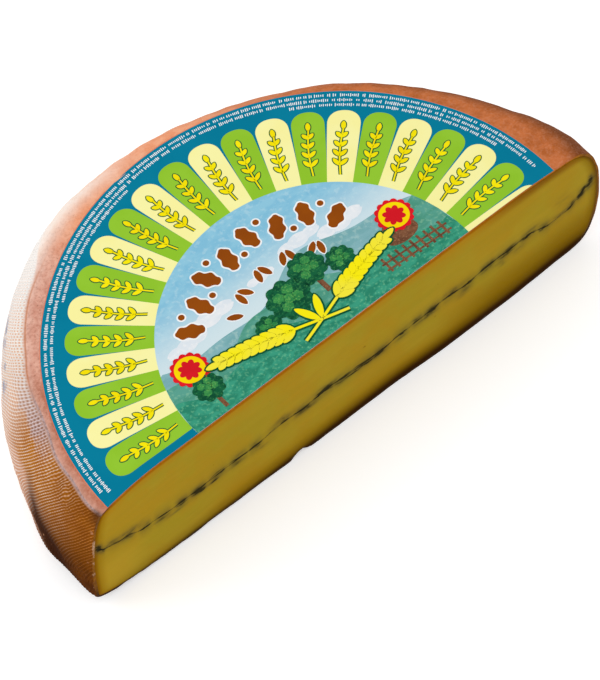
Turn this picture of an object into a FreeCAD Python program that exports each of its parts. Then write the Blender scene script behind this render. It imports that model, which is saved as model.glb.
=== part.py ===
import FreeCAD, Part

import math
import os

V = FreeCAD.Vector

# Half of a pressed wheel of cheese, cut straight down through the middle.
# Millimetres.  +X runs along the cut, the cut faces -Y, +Z is up.

# The wheel
WHEEL_RADIUS = 174.7
WHEEL_HEIGHT = 76.0
OUT_OF_ROUND = 5.4          # the round is this much longer one way
OUT_OF_ROUND_TURN = 152.0   # and this is that way, degrees from +X
END_PINCH = 22.0            # the end of the cut at -X is drawn in
END_PINCH_SPREAD = 60.0     # degrees of the round it is drawn in over

# The rounded edges, at five directions round the half wheel:
# degrees from +X, inset of the flat top, drop to the widest place,
# inset of the flat base, rise to the widest place
SHOULDERS = (
    (0.0, 22.0, 38.0, 22.0, 30.0),
    (45.0, 17.5, 40.0, 25.0, 27.0),
    (90.0, 20.5, 45.0, 28.0, 24.0),
    (135.0, 22.0, 49.0, 30.0, 19.0),
    (180.0, 16.5, 53.0, 32.0, 14.0),
)
SHOULDER_FULLNESS = 2.2     # 2 is an ellipse, more is squarer
LEAST_SIDE = 4.0            # always left upright between the rounded edges
ROUND_STEPS = 32            # sections round the half wheel
SHOULDER_STEPS = 7          # points up each rounded edge

# The line of ash between the two curds
ASH_HEIGHT = 36.5
ASH_THICKNESS = 1.6
ASH_RIM_LIFT = 11.5         # it climbs this much towards the rind
ASH_RIM_SHARPNESS = 16.0    # and the more suddenly the higher this is
ASH_TILT = 5.0              # it is this much higher at +X than at -X
RIND_THICKNESS = 3.0        # it stops this far inside the side
ASH_WAVES = (
    # height, length along the cut, length across it, start in degrees
    (1.6, 260.0, 380.0, -14.0),
    (0.8, 84.0, -140.0, 17.0),
    (0.5, 43.0, 66.0, 56.0),
)
ASH_STEP = 9.0              # spacing of the points of its surfaces

# The paper label on top
LABEL_MARGIN = 31.2         # from the side of the wheel in to the label
LABEL_STRETCH = 2.0         # it is this much more one way and less the other
LABEL_TURN = 47.0           # of its long way, degrees from +X
LABEL_OFFSET = (5.0, 3.9)   # of its middle from the middle of the wheel
LABEL_SET_BACK = 0.4        # from the cut
LABEL_THICKNESS = 0.3


def side_radius(angle):
    """Radius of the wheel at its widest, in the direction of angle."""
    ovality = math.cos(2.0 * (angle - math.radians(OUT_OF_ROUND_TURN)))
    pinch = math.exp(-(((angle - math.pi) / math.radians(END_PINCH_SPREAD)) ** 2))
    return WHEEL_RADIUS + OUT_OF_ROUND * ovality - END_PINCH * pinch


def shoulder_sizes(angle):
    """The four shoulder sizes at a direction, eased between the five given."""
    turn = min(max(math.degrees(angle), 0.0), 180.0)
    for low, high in zip(SHOULDERS, SHOULDERS[1:]):
        if turn <= high[0]:
            part = (turn - low[0]) / (high[0] - low[0])
            ease = 0.5 - 0.5 * math.cos(math.pi * part)
            return [a + (b - a) * ease for a, b in zip(low[1:], high[1:])]
    return list(SHOULDERS[-1][1:])


def shoulder_inset(share):
    """Inset of a rounded edge, 0 to 1, a share of the way to the flat."""
    full = SHOULDER_FULLNESS
    return 1.0 - (1.0 - min(share, 1.0) ** full) ** (1.0 / full)


def section(angle):
    """Points up the side at one direction, from the flat base to the flat top."""
    top_inset, drop, base_inset, rise = shoulder_sizes(angle)
    radius = side_radius(angle)
    room = min(1.0, (WHEEL_HEIGHT - LEAST_SIDE) / (drop + rise))
    drop, rise = drop * room, rise * room
    shares = [
        math.sin(0.5 * math.pi * i / SHOULDER_STEPS) for i in range(SHOULDER_STEPS + 1)
    ]
    flat = []
    for share in reversed(shares):
        flat.append((radius - base_inset * shoulder_inset(share), rise * (1.0 - share)))
    for share in shares:
        flat.append(
            (
                radius - top_inset * shoulder_inset(share),
                WHEEL_HEIGHT - drop * (1.0 - share),
            )
        )
    return [
        V(r * math.cos(angle), r * math.sin(angle), z) for r, z in flat
    ]


def edge_at(shape, test):
    """The edge of a shape whose every point passes a test."""
    for edge in shape.Edges:
        if all(test(p) for p in edge.discretize(9)):
            return edge
    raise ValueError("no edge there")


def half_wheel():
    """The whole half wheel: a smooth side, a flat top and base, and the cut."""
    grid = [section(math.pi * i / ROUND_STEPS) for i in range(ROUND_STEPS + 1)]
    for row in (grid[0], grid[-1]):
        for point in row:
            point.y = 0.0
    surface = Part.BSplineSurface()
    surface.interpolate(grid)
    side = surface.toShape()
    near = 1e-4
    base_rim = edge_at(side, lambda p: abs(p.z) < near)
    top_rim = edge_at(side, lambda p: abs(p.z - WHEEL_HEIGHT) < near)
    right = edge_at(side, lambda p: abs(p.y) < near and p.x > 0.0)
    left = edge_at(side, lambda p: abs(p.y) < near and p.x < 0.0)
    base_line = Part.makeLine(grid[0][0], grid[-1][0])
    top_line = Part.makeLine(grid[0][-1], grid[-1][-1])
    faces = [
        side,
        Part.Face(Part.Wire([base_rim, base_line])),
        Part.Face(Part.Wire([top_rim, top_line])),
        Part.Face(Part.Wire(Part.__sortEdges__([base_line, right, top_line, left]))),
    ]
    shell = Part.makeShell(faces)
    shell.sewShape()
    solid = Part.makeSolid(Part.Shell(shell.Faces))
    if solid.Volume < 0:
        solid.reverse()
    return solid


def ash_level(x, y):
    """Height of the middle of the ash at one place."""
    angle = math.atan2(max(y, 0.0), x)
    out = min(math.hypot(x, y) / side_radius(angle), 1.04)
    level = ASH_HEIGHT + 0.5 * ASH_TILT * x / WHEEL_RADIUS
    level += ASH_RIM_LIFT * out ** ASH_RIM_SHARPNESS
    for height, along, across, start in ASH_WAVES:
        turn = x / along + y / across
        level += height * math.sin(2.0 * math.pi * turn + math.radians(start))
    return level


def ash_surface():
    """The wandering surface between the curds, wider than the wheel."""
    reach = WHEEL_RADIUS + 12.0
    across = int(math.ceil(2.0 * reach / ASH_STEP))
    deep = int(math.ceil((reach + 20.0) / ASH_STEP))
    grid = []
    for i in range(across + 1):
        x = -reach + 2.0 * reach * i / across
        row = []
        for j in range(deep + 1):
            y = -20.0 + (reach + 20.0) * j / deep
            row.append(V(x, y, ash_level(x, y)))
        grid.append(row)
    surface = Part.BSplineSurface()
    surface.interpolate(grid)
    return surface.toShape()


def inside_rind():
    """An upright block that stops the ash just inside the rind."""
    count = ROUND_STEPS
    points = []
    for i in range(count + 1):
        angle = math.pi * i / count
        r = side_radius(angle) - RIND_THICKNESS
        points.append(V(r * math.cos(angle), r * math.sin(angle), 0.0))
    points[0].y = 0.0
    points[-1].y = 0.0
    round_edge = Part.BSplineCurve()
    round_edge.interpolate(points)
    before = [points[-1], points[-1] - V(0, 10, 0), points[0] - V(0, 10, 0), points[0]]
    edges = [round_edge.toShape()]
    edges += [Part.makeLine(a, b) for a, b in zip(before, before[1:])]
    return Part.Face(Part.Wire(edges)).extrude(V(0, 0, WHEEL_HEIGHT))


def label_sheet():
    """The half round paper label, lying on the flat top."""
    radius = WHEEL_RADIUS - LABEL_MARGIN
    ellipse = Part.Ellipse(V(0, 0, 0), radius + LABEL_STRETCH, radius - LABEL_STRETCH)
    sheet = Part.Face(Part.Wire([ellipse.toShape()]))
    sheet.rotate(V(0, 0, 0), V(0, 0, 1), LABEL_TURN)
    sheet.translate(V(LABEL_OFFSET[0], LABEL_OFFSET[1], WHEEL_HEIGHT))
    disc = sheet.extrude(V(0, 0, LABEL_THICKNESS))
    reach = 2.0 * WHEEL_RADIUS
    keep = Part.makeBox(
        2.0 * reach, reach, 10.0, V(-reach, LABEL_SET_BACK, WHEEL_HEIGHT - 5.0)
    )
    return disc.common(keep)


def only_solid(shape):
    """The one solid of a shape made by cutting."""
    solids = sorted(shape.Solids, key=lambda s: s.Volume)
    return solids[-1]


def build():
    """All the parts of the half wheel, each under its own name."""
    wheel = half_wheel()
    middle = ash_surface()
    half = 0.5 * ASH_THICKNESS
    sheet = middle.copy()
    sheet.translate(V(0, 0, -half))
    slab = sheet.extrude(V(0, 0, ASH_THICKNESS))
    above = middle.extrude(V(0, 0, 2.0 * WHEEL_HEIGHT))
    ash = only_solid(slab.common(inside_rind()).common(wheel))
    lower = only_solid(wheel.cut(above).cut(ash))
    upper = only_solid(wheel.common(above).cut(ash))
    return {
        "paste_lower": lower,
        "ash_layer": ash,
        "paste_upper": upper,
        "label": only_solid(label_sheet()),
    }


parts = build()

# The origin is under the middle of the half wheel.
boxes = [
    parts[name].optimalBoundingBox(True, False) for name in ("paste_lower", "paste_upper")
]
mid_x = 0.5 * (min(b.XMin for b in boxes) + max(b.XMax for b in boxes))
mid_y = 0.5 * (min(b.YMin for b in boxes) + max(b.YMax for b in boxes))
shift = V(-mid_x, -mid_y, 0.0)

os.makedirs("parts", exist_ok=True)
for name, shape in parts.items():
    shape.translate(shift)
    shape.exportStep("parts/%s.step" % name)
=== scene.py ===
"""Half a wheel of morbier: woven rind, cut paste, ash line and a printed paper label.

All sizes are in millimetres in the row frame, with the cut facing -Y, and become metres
when a mesh is placed. Colours are written as plain screen values from 0 to 255.
"""

import logging
import math
import random
from collections.abc import Callable
from dataclasses import dataclass, field
from enum import Enum
from functools import reduce

import bmesh
import bpy
from mathutils import Matrix, Vector, noise

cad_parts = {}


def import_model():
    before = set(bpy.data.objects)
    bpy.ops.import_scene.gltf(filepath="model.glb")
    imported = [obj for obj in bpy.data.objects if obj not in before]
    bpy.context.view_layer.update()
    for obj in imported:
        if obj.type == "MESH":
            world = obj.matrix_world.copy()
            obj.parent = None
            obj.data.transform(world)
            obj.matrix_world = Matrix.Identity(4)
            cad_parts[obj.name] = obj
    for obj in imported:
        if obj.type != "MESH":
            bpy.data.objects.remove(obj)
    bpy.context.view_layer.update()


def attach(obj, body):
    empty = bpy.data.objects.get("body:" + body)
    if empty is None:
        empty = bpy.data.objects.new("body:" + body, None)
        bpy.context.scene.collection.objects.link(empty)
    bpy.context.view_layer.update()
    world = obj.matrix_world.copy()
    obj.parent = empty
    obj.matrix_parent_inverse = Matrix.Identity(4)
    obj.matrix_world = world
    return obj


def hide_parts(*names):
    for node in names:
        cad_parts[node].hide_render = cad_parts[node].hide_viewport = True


MM = 0.001
PER_METRE = 1000.0
LOG = logging.getLogger("morbier")
Colour = tuple[float, float, float]
Pair = tuple[Colour, Colour]
Point = tuple[float, float]
Table = tuple[tuple[float, ...], ...]
Socket = bpy.types.NodeSocket
Inputs = dict[str, object]
Piece = bpy.types.Object
Mesh = bmesh.types.BMesh
Vert = bmesh.types.BMVert


# ---------------------------------------------------------------- small helpers


def ease(value: float, low: float, high: float) -> float:
    """Smooth step of value from 0 at low to 1 at high; low may be the larger of the two."""
    part = min(1.0, max(0.0, (value - low) / (high - low)))
    return part * part * (3.0 - 2.0 * part)


def ripple(x: float, y: float, size: float, seed: float) -> float:
    """Soft noise between about -1 and 1 with features of one size in millimetres."""
    return 2.0 * noise.noise(Vector((x / size, y / size, seed)))


def bell(value: float, middle: float, wide: float, power: int = 2) -> float:
    """A bump of height 1 round a middle; a power of 4 gives it a flat top."""
    return math.exp(-(((value - middle) / wide) ** power))


def beside(base: Point, turn: float, along: float, side: float) -> Point:
    """A place reached from a base by going along a direction in degrees, and to its left.

    Args:
        base: the place to start from.
        turn: the direction in degrees.
        along: how far to go along it.
        side: how far to go to its left.

    Returns:
        The place reached.
    """
    way = math.radians(turn)
    return (
        base[0] + along * math.cos(way) - side * math.sin(way),
        base[1] + along * math.sin(way) + side * math.cos(way),
    )


def polar(angle: float, out: float) -> Point:
    """A place in the label's plane from its angle in degrees and distance."""
    return out * math.cos(math.radians(angle)), out * math.sin(math.radians(angle))


def doubled(bm: Mesh) -> tuple[list, list]:
    """Extrudes a sheet onto itself.

    Args:
        bm: the sheet.

    Returns:
        Its lower and its upper points.
    """
    lower = list(bm.verts)
    made = bmesh.ops.extrude_face_region(bm, geom=bm.faces[:])["geom"]
    return lower, [item for item in made if isinstance(item, bmesh.types.BMVert)]


def screen(colour: Colour) -> tuple[float, float, float, float]:
    """A written 0 to 255 colour as the linear value that shaders take.

    Args:
        colour: red, green and blue as written.

    Returns:
        The linear colour, opaque.
    """
    linear = [
        c / 255 / 12.92 if c <= 10.3 else ((c / 255 + 0.055) / 1.055) ** 2.4 for c in colour
    ]
    return (linear[0], linear[1], linear[2], 1.0)


# ---------------------------------------------------------------- the wheel's shape


@dataclass(frozen=True)
class Shoulder:
    """How the rim rounds over at one angle round the wheel.

    Attributes:
        angle: degrees round the wheel, from the right end of the cut to the left.
        top_inset: from the widest line in to the crease.
        drop: from the crease down to the widest line.
        top_full: fullness of the upper rounding, 2 being a true ellipse.
        base_inset: from the widest line in to the flat base.
        rise: from the flat base up to the widest line.
        base_full: fullness of the lower rounding.
        droop: how far the crease lies below the flat top.
        crease: depth of the crease between the top skin and the side.
    """

    angle: float
    top_inset: float
    drop: float
    top_full: float
    base_inset: float
    rise: float
    base_full: float
    droop: float
    crease: float


@dataclass(frozen=True)
class Wheel:
    """The wheel that the half is cut from, as formulas for its surfaces.

    Attributes:
        middle_x: where the round's middle lies along the cut.
        cut_y: the plane of the cut.
        height: of the flat top.
        radius: mean radius of the widest line.
        out_of_round: how far the round is drawn out, along round_turn and across it.
        round_turn: the direction in which it is drawn out.
        end_pinch: how far the left end draws in, over end_spread degrees.
        end_spread: spread of the pinch.
        swells: angle, spread and height of each bulge in the side.
        weave_pitch: from ridge to ridge of the cloth print.
        weave_gap: how far below the crease the print begins.
        weave_drop: how much lower it begins at the back.
        fold_from: the angle at which the fold and its painted shade begin.
        fold: the fold's height there, and its fall for each degree.
        bow_depth: how far the cut bows forward.
        droop_from: the part of the top, from the middle out, that stays flat.
        shoulders: the rim's rounding at some angles.
        ash_height: mean height of the ash layer.
        ash_rim_lift: how much it rises at the rim.
        ash_line: the ash line's drawn places along the cut.
    """

    middle_x: float = -10.8
    cut_y: float = -84.71
    height: float = 76.0
    radius: float = 174.7
    out_of_round: float = 5.4
    round_turn: float = 152.0
    end_pinch: float = 24.6
    end_spread: float = 60.0
    swells: Table = (
        (0, 4, -0.8), (8, 6.5, 2.0), (42, 13, -1.0), (65, 12, -1.9), (109, 9, 1.2), (147, 5, 0.8),
        (169.5, 8.8, 2.6),
    )
    weave_pitch: float = 1.9
    weave_gap: float = 0.3
    weave_drop: float = 25.0
    fold_from: float = 160.0
    fold: Point = (31.0, 1.6)
    bow_depth: float = 1.3
    droop_from: float = 0.74
    shoulders: tuple[Shoulder, ...] = (
        Shoulder(0, 24.0, 35.5, 2.7, 21.0, 42.0, 2.2, 2.5, 0.0),
        Shoulder(20, 21.0, 38.5, 2.25, 23.0, 30.0, 2.2, 0.6, 0.0),
        Shoulder(45, 18.5, 40.0, 2.2, 25.0, 27.0, 2.2, 0.0, 0.0),
        Shoulder(90, 22.0, 45.0, 2.05, 28.0, 24.0, 2.2, 0.2, 0.1),
        Shoulder(112, 19.6, 46.0, 2.0, 29.0, 22.0, 2.2, 0.6, 0.3),
        Shoulder(128, 17.0, 47.0, 2.0, 30.0, 19.0, 2.1, 1.3, 0.6),
        Shoulder(150, 17.0, 49.0, 1.95, 33.0, 15.0, 2.0, 2.4, 0.9),
        Shoulder(169, 15.2, 50.0, 1.85, 37.0, 10.5, 2.1, 4.0, 1.1),
        Shoulder(180, 11.1, 50.0, 1.7, 44.0, 9.0, 1.8, 6.2, 1.3),
    )
    ash_height: float = 36.0
    ash_rim_lift: float = 10.5
    ash_line: Table = (
        (-166, 50.0), (-160, 46.0), (-155, 42.0), (-143, 39.0), (-132, 35.2), (-112, 34.1), (-98, 33.4),
        (-80, 34.3), (-62, 34.0), (-45, 36.2), (-29, 35.0), (-18, 36.3), (5, 35.4), (22, 35.2), (31, 36.8),
        (52, 37.8), (64, 38.6), (76, 37.4), (92, 39.1), (118, 39.2), (133, 35.0), (144, 35.2), (152, 39.3),
        (158, 42.0), (168, 48.0),
    )

    def side_radius(self, angle: float) -> float:
        """The widest radius at an angle.

        Args:
            angle: degrees round the wheel.

        Returns:
            The radius.
        """
        swell = self.out_of_round * math.cos(2 * math.radians(angle - self.round_turn))
        swell += sum(rise * bell(angle, at, wide, 4) for at, wide, rise in self.swells)
        pinch = self.end_pinch * bell(angle, 180, self.end_spread)
        return self.radius + swell - pinch

    def weave_start(self, angle: float) -> float:
        """How far below the crease the cloth print begins; the bare skin wraps over at the back."""
        return self.weave_gap + self.weave_drop * ease(angle, 124.0, 98.0)

    def fold_level(self, angle: float) -> float:
        """Height of the fold, with its painted shade, running down the side towards the left end's foot."""
        return self.fold[0] - self.fold[1] * (angle - self.fold_from)

    def shoulder(self, angle: float) -> Shoulder:
        """The rim's sizes at any angle, eased between the given ones.

        Args:
            angle: degrees round the wheel.

        Returns:
            The sizes there.
        """
        angle = min(180.0, max(0.0, angle))
        for low, high in zip(self.shoulders, self.shoulders[1:]):
            if angle <= high.angle:
                break
        part = ease(angle, low.angle, high.angle)
        names = Shoulder.__dataclass_fields__
        return Shoulder(
            *(getattr(low, n) + part * (getattr(high, n) - getattr(low, n)) for n in names)
        )

    def crease_radius(self, angle: float) -> float:
        """Where the top skin ends and the side begins, from the wheel's middle."""
        return self.side_radius(angle) - self.shoulder(angle).top_inset

    def bow(self, x: float, y: float, level: float) -> float:
        """How far the cut bows forward of its plane, most at the base, fading out behind it.

        Args:
            x: place along the cut.
            y: place towards the back.
            level: height above the base.

        Returns:
            The distance forward.
        """
        behind = max(0.0, y - self.cut_y)
        along = ease(x, 20.0, 65.0) * ease(x, 150.0, 95.0)
        return self.bow_depth * along * ease(level, 66.0, 4.0) * bell(behind, 0.0, 9.0)

    def polar(self, x: float, y: float) -> Point:
        """Angle in degrees and distance of a place from the wheel's middle."""
        dx, dy = x - self.middle_x, y - self.cut_y
        return math.degrees(math.atan2(max(dy, 0.0), dx)), math.hypot(dx, dy)

    def top_level(self, x: float, y: float) -> float:
        """Height of the top skin, which is flat but for a droop by the crease.

        Args:
            x: place along the cut.
            y: place towards the back.

        Returns:
            The height above the base.
        """
        angle, out = self.polar(x, y)
        part = min(1.1, out / self.crease_radius(angle))
        drooping = max(0.0, (part - self.droop_from) / (1.0 - self.droop_from))
        sag = self.shoulder(angle).droop * drooping**2
        return self.height - sag + 0.10 * ripple(x, y, 48.0, 3.0) - 0.05

    def chip(self, x: float, y: float) -> float:
        """How far the base edge is lifted by the little chips along the cut.

        Args:
            x: place along the cut.
            y: place towards the back.

        Returns:
            The lift, 0 away from the cut.
        """
        near = bell(y, self.cut_y, 3.5)
        notch = 3.2 * bell(x, -35.5, 4.6, 4)
        rough = 0.35 * max(0.0, ripple(x, 7.0, 9.0, 5.0)) + 0.25 * max(0.0, ripple(x, 1.0, 3.0, 8.0))
        left = 0.8 * ease(x, -48.0, -66.0) + 0.6 * ease(x, -95.0, -135.0) + 0.5 * bell(x, -92.0, 8.0)
        return near * (notch + rough + left)

    def ash_level(self, x: float, y: float) -> float:
        """Height of the ash layer: its drawn line at the cut, easing into slow waves behind.

        Args:
            x: place along the cut.
            y: place towards the back.

        Returns:
            The height of the layer's middle.
        """
        angle, out = self.polar(x, y)
        part = min(1.0, out / self.side_radius(angle))
        waves = 1.2 * math.sin(x / 43.0 + 1.2 + y / 70.0) + 0.55 * math.sin(x / 13.5 + 0.4 - y / 31.0)
        inside = self.ash_height + 0.013 * (x - self.middle_x) + waves + self.ash_rim_lift * part**14
        for low, high in zip(self.ash_line, self.ash_line[1:]):
            if x <= high[0]:
                break
        line = low[1] + (high[1] - low[1]) * ease(x, low[0], high[0])
        return line + (inside - line) * ease(y - self.cut_y, 0.0, 22.0)

    def place(self, angle: float, out: float, level: float) -> Vector:
        """A point of the mesh, in metres, from its angle, distance and height.

        Args:
            angle: degrees round the wheel.
            out: distance from the wheel's middle.
            level: height above the base.

        Returns:
            The point in metres.
        """
        turn = math.radians(angle)
        x = self.middle_x + out * math.cos(turn)
        y = self.cut_y + out * math.sin(turn)
        return Vector((x, y, level)) * MM


WHEEL = Wheel()


@dataclass
class Section:
    """The rim's outline at one angle, row by row from the top's middle to the base's.

    Attributes:
        angle: degrees round the wheel.
        points: distance out and height of each row.
        down: distance from the crease along the surface, negative on the top skin.
        under: 0 on the side and 1 on the flat base.
    """

    angle: float
    points: list[Point] = field(default_factory=list)
    down: list[float] = field(default_factory=list)
    under: list[float] = field(default_factory=list)

    TOP_PARTS = (0.0, 0.4, 0.7, 0.8, 0.86, 0.9, 0.935, 0.965)
    CREASE_STEPS = ((-1.6, 0.0), (-0.7, 0.35), (0.0, 1.0), (0.8, 0.55), (1.6, 0.1))
    CREASE_ROW = len(TOP_PARTS) + 2
    UPPER_ROWS = 60
    LOWER_ROWS = 22
    BASE_PARTS = (
        0.97, 0.93, 0.89, 0.85, 0.81, 0.77, 0.72, 0.66, 0.6, 0.52, 0.44, 0.36,
        0.31, 0.285, 0.26, 0.235, 0.21, 0.185, 0.16, 0.12, 0.06, 0.0,
    )

    def __post_init__(self) -> None:
        """Lays out every row of the outline."""
        wheel, size = WHEEL, WHEEL.shoulder(self.angle)
        wide = wheel.side_radius(self.angle)
        rim = wide - size.top_inset
        turn = math.radians(self.angle)
        for part in self.TOP_PARTS:
            spot = wheel.place(self.angle, rim * part, 0.0) / MM
            self.points.append((rim * part, wheel.top_level(spot.x, spot.y)))
        crest = wheel.height - size.droop
        for step, sink in self.CREASE_STEPS:
            self.points.append((rim + step, crest - size.crease * sink - max(0.0, step) * 0.18))
        skip = (self.CREASE_STEPS[-1][0] + 0.6) / size.top_inset
        start = math.asin(skip ** (size.top_full / 2))
        for row in range(self.UPPER_ROWS):
            swing = min(math.pi / 2, start + (math.pi / 2 - start) * row / (self.UPPER_ROWS - 1))
            out = wide - size.top_inset * (1 - math.sin(swing) ** (2 / size.top_full))
            self.points.append((out, crest - size.drop * (1 - math.cos(swing) ** (2 / size.top_full))))
        low = math.asin(max(0.0, 1 - (crest - size.drop - 1.0) / size.rise) ** (size.base_full / 2))
        for row in range(self.LOWER_ROWS + 1):
            swing = min(math.pi / 2, low + (math.pi / 2 - low) * row / self.LOWER_ROWS)
            out = wide - size.base_inset * (1 - math.cos(swing) ** (2 / size.base_full))
            self.points.append((out, size.rise * (1 - math.sin(swing) ** (2 / size.base_full))))
        base = wide - size.base_inset
        for part in self.BASE_PARTS:
            self.points.append((base * part, 0.0))
        self._measure(turn)

    def _measure(self, turn: float) -> None:
        """Works out each row's distance from the crease and how far under it lies.

        Args:
            turn: the section's angle in radians.
        """
        lengths = [0.0]
        for a, b in zip(self.points, self.points[1:]):
            lengths.append(lengths[-1] + math.dist(a, b))
        side_end = len(self.TOP_PARTS) + len(self.CREASE_STEPS) + self.UPPER_ROWS
        for row, (out, level) in enumerate(self.points):
            self.down.append(lengths[row] - lengths[self.CREASE_ROW])
            low = row - side_end - self.LOWER_ROWS * 0.45
            self.under.append(ease(low, 0.0, self.LOWER_ROWS * 0.5) if row > side_end else 0.0)
            x = WHEEL.middle_x + out * math.cos(turn)
            chip = WHEEL.chip(x, WHEEL.cut_y + out * math.sin(turn))
            if row > side_end and chip:
                self.points[row] = (out, level + chip * ease(level, 12.0, 0.0))


def rounding(size: Shoulder, level: float, inset: float) -> float:
    """How far the side has drawn in from its widest at a height, for a skin's inset.

    Args:
        size: the rim's sizes there.
        level: height above the base.
        inset: how far inside the rind's face.

    Returns:
        The distance in from the widest line.
    """
    top = WHEEL.height - size.droop - inset
    foot = WHEEL.height - size.droop - size.drop
    if level >= foot:
        part = min(1.0, (level - foot) / (top - foot))
        return size.top_inset * (1 - (1 - part**size.top_full) ** (1 / size.top_full))
    part = min(1.0, max(0.0, (size.rise - level) / (size.rise - inset)))
    return size.base_inset * (1 - (1 - part**size.base_full) ** (1 / size.base_full))


class Weave:
    """The cloth band's print: counts its ridges from the right end round to the left.

    The ridges run straight down the side at the back. Towards the left end the cloth was
    pulled askew, and there they lie in nearly level rows.
    """

    # ridges per millimetre along X, along Y and downwards, where the cloth was pulled askew
    ASKEW = Vector((-0.396, -0.410, 0.451))
    ASKEW_END = Vector((-0.113, -0.548, 0.422))
    ROUND_MM = 2.6

    def __init__(self) -> None:
        """Counts the ridges that cross the crease, degree by degree."""
        self.counts = [0.0]
        for angle in range(180):
            step = self._crease(angle + 1.0) - self._crease(float(angle))
            self.counts.append(self.counts[-1] + self._way(angle + 0.5).dot(step))

    @staticmethod
    def _crease(angle: float) -> Vector:
        """The crease at an angle, from the wheel's middle at its top."""
        out, turn = WHEEL.crease_radius(angle), math.radians(angle)
        return Vector((out * math.cos(turn), out * math.sin(turn), 0.0))

    def _way(self, angle: float) -> Vector:
        """How many ridges there are per millimetre along X, along Y and downwards.

        Args:
            angle: degrees round the wheel.

        Returns:
            The ridges per millimetre, as a vector.
        """
        turn = math.radians(angle)
        straight = Vector((-math.sin(turn), math.cos(turn), 0.0)) / WHEEL.weave_pitch
        level = self.ASKEW.lerp(self.ASKEW_END, ease(angle, 142.0, 156.0))
        return straight.lerp(level, ease(angle, 100.0, 128.0))

    def phase(self, angle: float, down: float, out: float, level: float) -> float:
        """The ridge count at a place on the side.

        Args:
            angle: degrees round the wheel.
            down: distance below the crease.
            out: distance from the wheel's middle.
            level: height above the base.

        Returns:
            The count, whole at the top of each ridge.
        """
        low = min(179, int(angle))
        start = self.counts[low] + (self.counts[low + 1] - self.counts[low]) * (angle - low)
        turn, sunk = math.radians(angle), max(0.0, WHEEL.height - level)
        sunk -= max(0.0, min(sunk, 66.0) - 40.0) ** 2 / 52.0
        place = Vector((out * math.cos(turn), out * math.sin(turn), sunk))
        count = start + self._way(angle).dot(place - self._crease(angle))
        along = angle * self.ROUND_MM
        waver = 0.22 * ripple(along, down, 19.0, 11.0) + 0.07 * ripple(along, down, 6.0, 2.0)
        whorl = bell(angle, 172, 5.0) * bell(down, 8.0, 5.0)
        return count + waver + 0.7 * whorl * ripple(along, down, 5.5, 21.0)


# ---------------------------------------------------------------- node building


class Graph:
    """A node tree being wired; each method adds a node and returns its output socket."""

    def __init__(self, tree: bpy.types.NodeTree) -> None:
        """Takes the tree to build in."""
        self.tree = tree

    def feed(self, socket: Socket, value: object) -> None:
        """Links a socket to another, or sets its plain value.

        Args:
            socket: the input.
            value: an output socket, or a plain value.
        """
        if isinstance(value, Socket):
            self.tree.links.new(value, socket)
        else:
            socket.default_value = value

    def node(self, kind: str, inputs: dict | None = None, **settings: object) -> bpy.types.Node:
        """Adds a node with its settings, and then its inputs, named or numbered.

        Args:
            kind: the node's type.
            inputs: a value or an output socket for each input.
            settings: the node's own settings.

        Returns:
            The new node.
        """
        made = self.tree.nodes.new(kind)
        for name, value in settings.items():
            setattr(made, name, value)
        for name, value in (inputs or {}).items():
            self.feed(made.inputs[name], value)
        return made

    def math(self, operation: str, *values: object) -> Socket:
        """A math node."""
        inputs = dict(enumerate(values))
        return self.node("ShaderNodeMath", inputs, operation=operation).outputs[0]

    def times(self, *values: object) -> Socket:
        """The product of two or more values."""
        return reduce(lambda one, two: self.math("MULTIPLY", one, two), values)

    def total(self, *values: object) -> Socket:
        """The sum of two or more values."""
        return reduce(lambda one, two: self.math("ADD", one, two), values)

    def mix(self, part: object, one: object, two: object) -> Socket:
        """Mixes two colours; a plain tuple is a written 0 to 255 colour."""
        one, two = (screen(c) if isinstance(c, tuple) else c for c in (one, two))
        return self.node("ShaderNodeMix", {0: part, 6: one, 7: two}, data_type="RGBA").outputs[2]

    def band(
        self, value: Socket, low: float, high: float, least: float = 0.0, most: float = 1.0
    ) -> Socket:
        """Smooth step of a value between two limits, which may fall as well as rise.

        Args:
            value: what is tested.
            low: where the step begins.
            high: where the step ends.
            least: the result before the step.
            most: the result after it.

        Returns:
            The value from least to most.
        """
        if low > high:
            low, high, least, most = high, low, most, least
        inputs = {"Value": value, "From Min": low, "From Max": high, "To Min": least, "To Max": most}
        made = self.node("ShaderNodeMapRange", inputs, interpolation_type="SMOOTHSTEP")
        return made.outputs["Result"]

    def zone(self, *masks: object) -> Socket:
        """The product of masks; one given as a value and its limits becomes a smooth step."""
        return self.times(*(self.band(*mask) if isinstance(mask, tuple) else mask for mask in masks))

    def coat(self, under: object, tint: object, strength: float, *masks: object) -> Socket:
        """Lays a tint over a colour, at a strength and only where all the masks hold."""
        return self.mix(self.zone(*masks, strength), under, tint)

    def attribute(self, name: str) -> Socket:
        """A value stored on the piece's points."""
        made = self.node("ShaderNodeAttribute", attribute_name=name, attribute_type="GEOMETRY")
        return made.outputs["Fac"]

    def place(self) -> Socket:
        """The piece's Object coordinates."""
        return self.node("ShaderNodeTexCoord").outputs["Object"]

    def axes(self) -> tuple[Socket, ...]:
        """The piece's Object coordinates one by one."""
        return tuple(self.node("ShaderNodeSeparateXYZ", {0: self.place()}).outputs)

    def mapped(self, stretch: tuple[float, float, float], turn: float = 0.0) -> Socket:
        """Object coordinates stretched, and turned about Z, by a Mapping node."""
        inputs = {"Vector": self.place(), "Scale": stretch, "Rotation": (0.0, 0.0, turn)}
        return self.node("ShaderNodeMapping", inputs).outputs["Vector"]

    def noise(self, vector: object, scale: object, detail: float = 3.0) -> Socket:
        """Noise between 0 and 1."""
        inputs = {"Vector": vector, "Scale": scale, "Detail": detail, "Roughness": 0.55}
        return self.node("ShaderNodeTexNoise", inputs).outputs["Fac"]

    def group(self, tree: bpy.types.NodeTree, inputs: dict) -> bpy.types.Node:
        """A shared group with its own values."""
        return self.node("ShaderNodeGroup", inputs, node_tree=tree)


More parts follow.
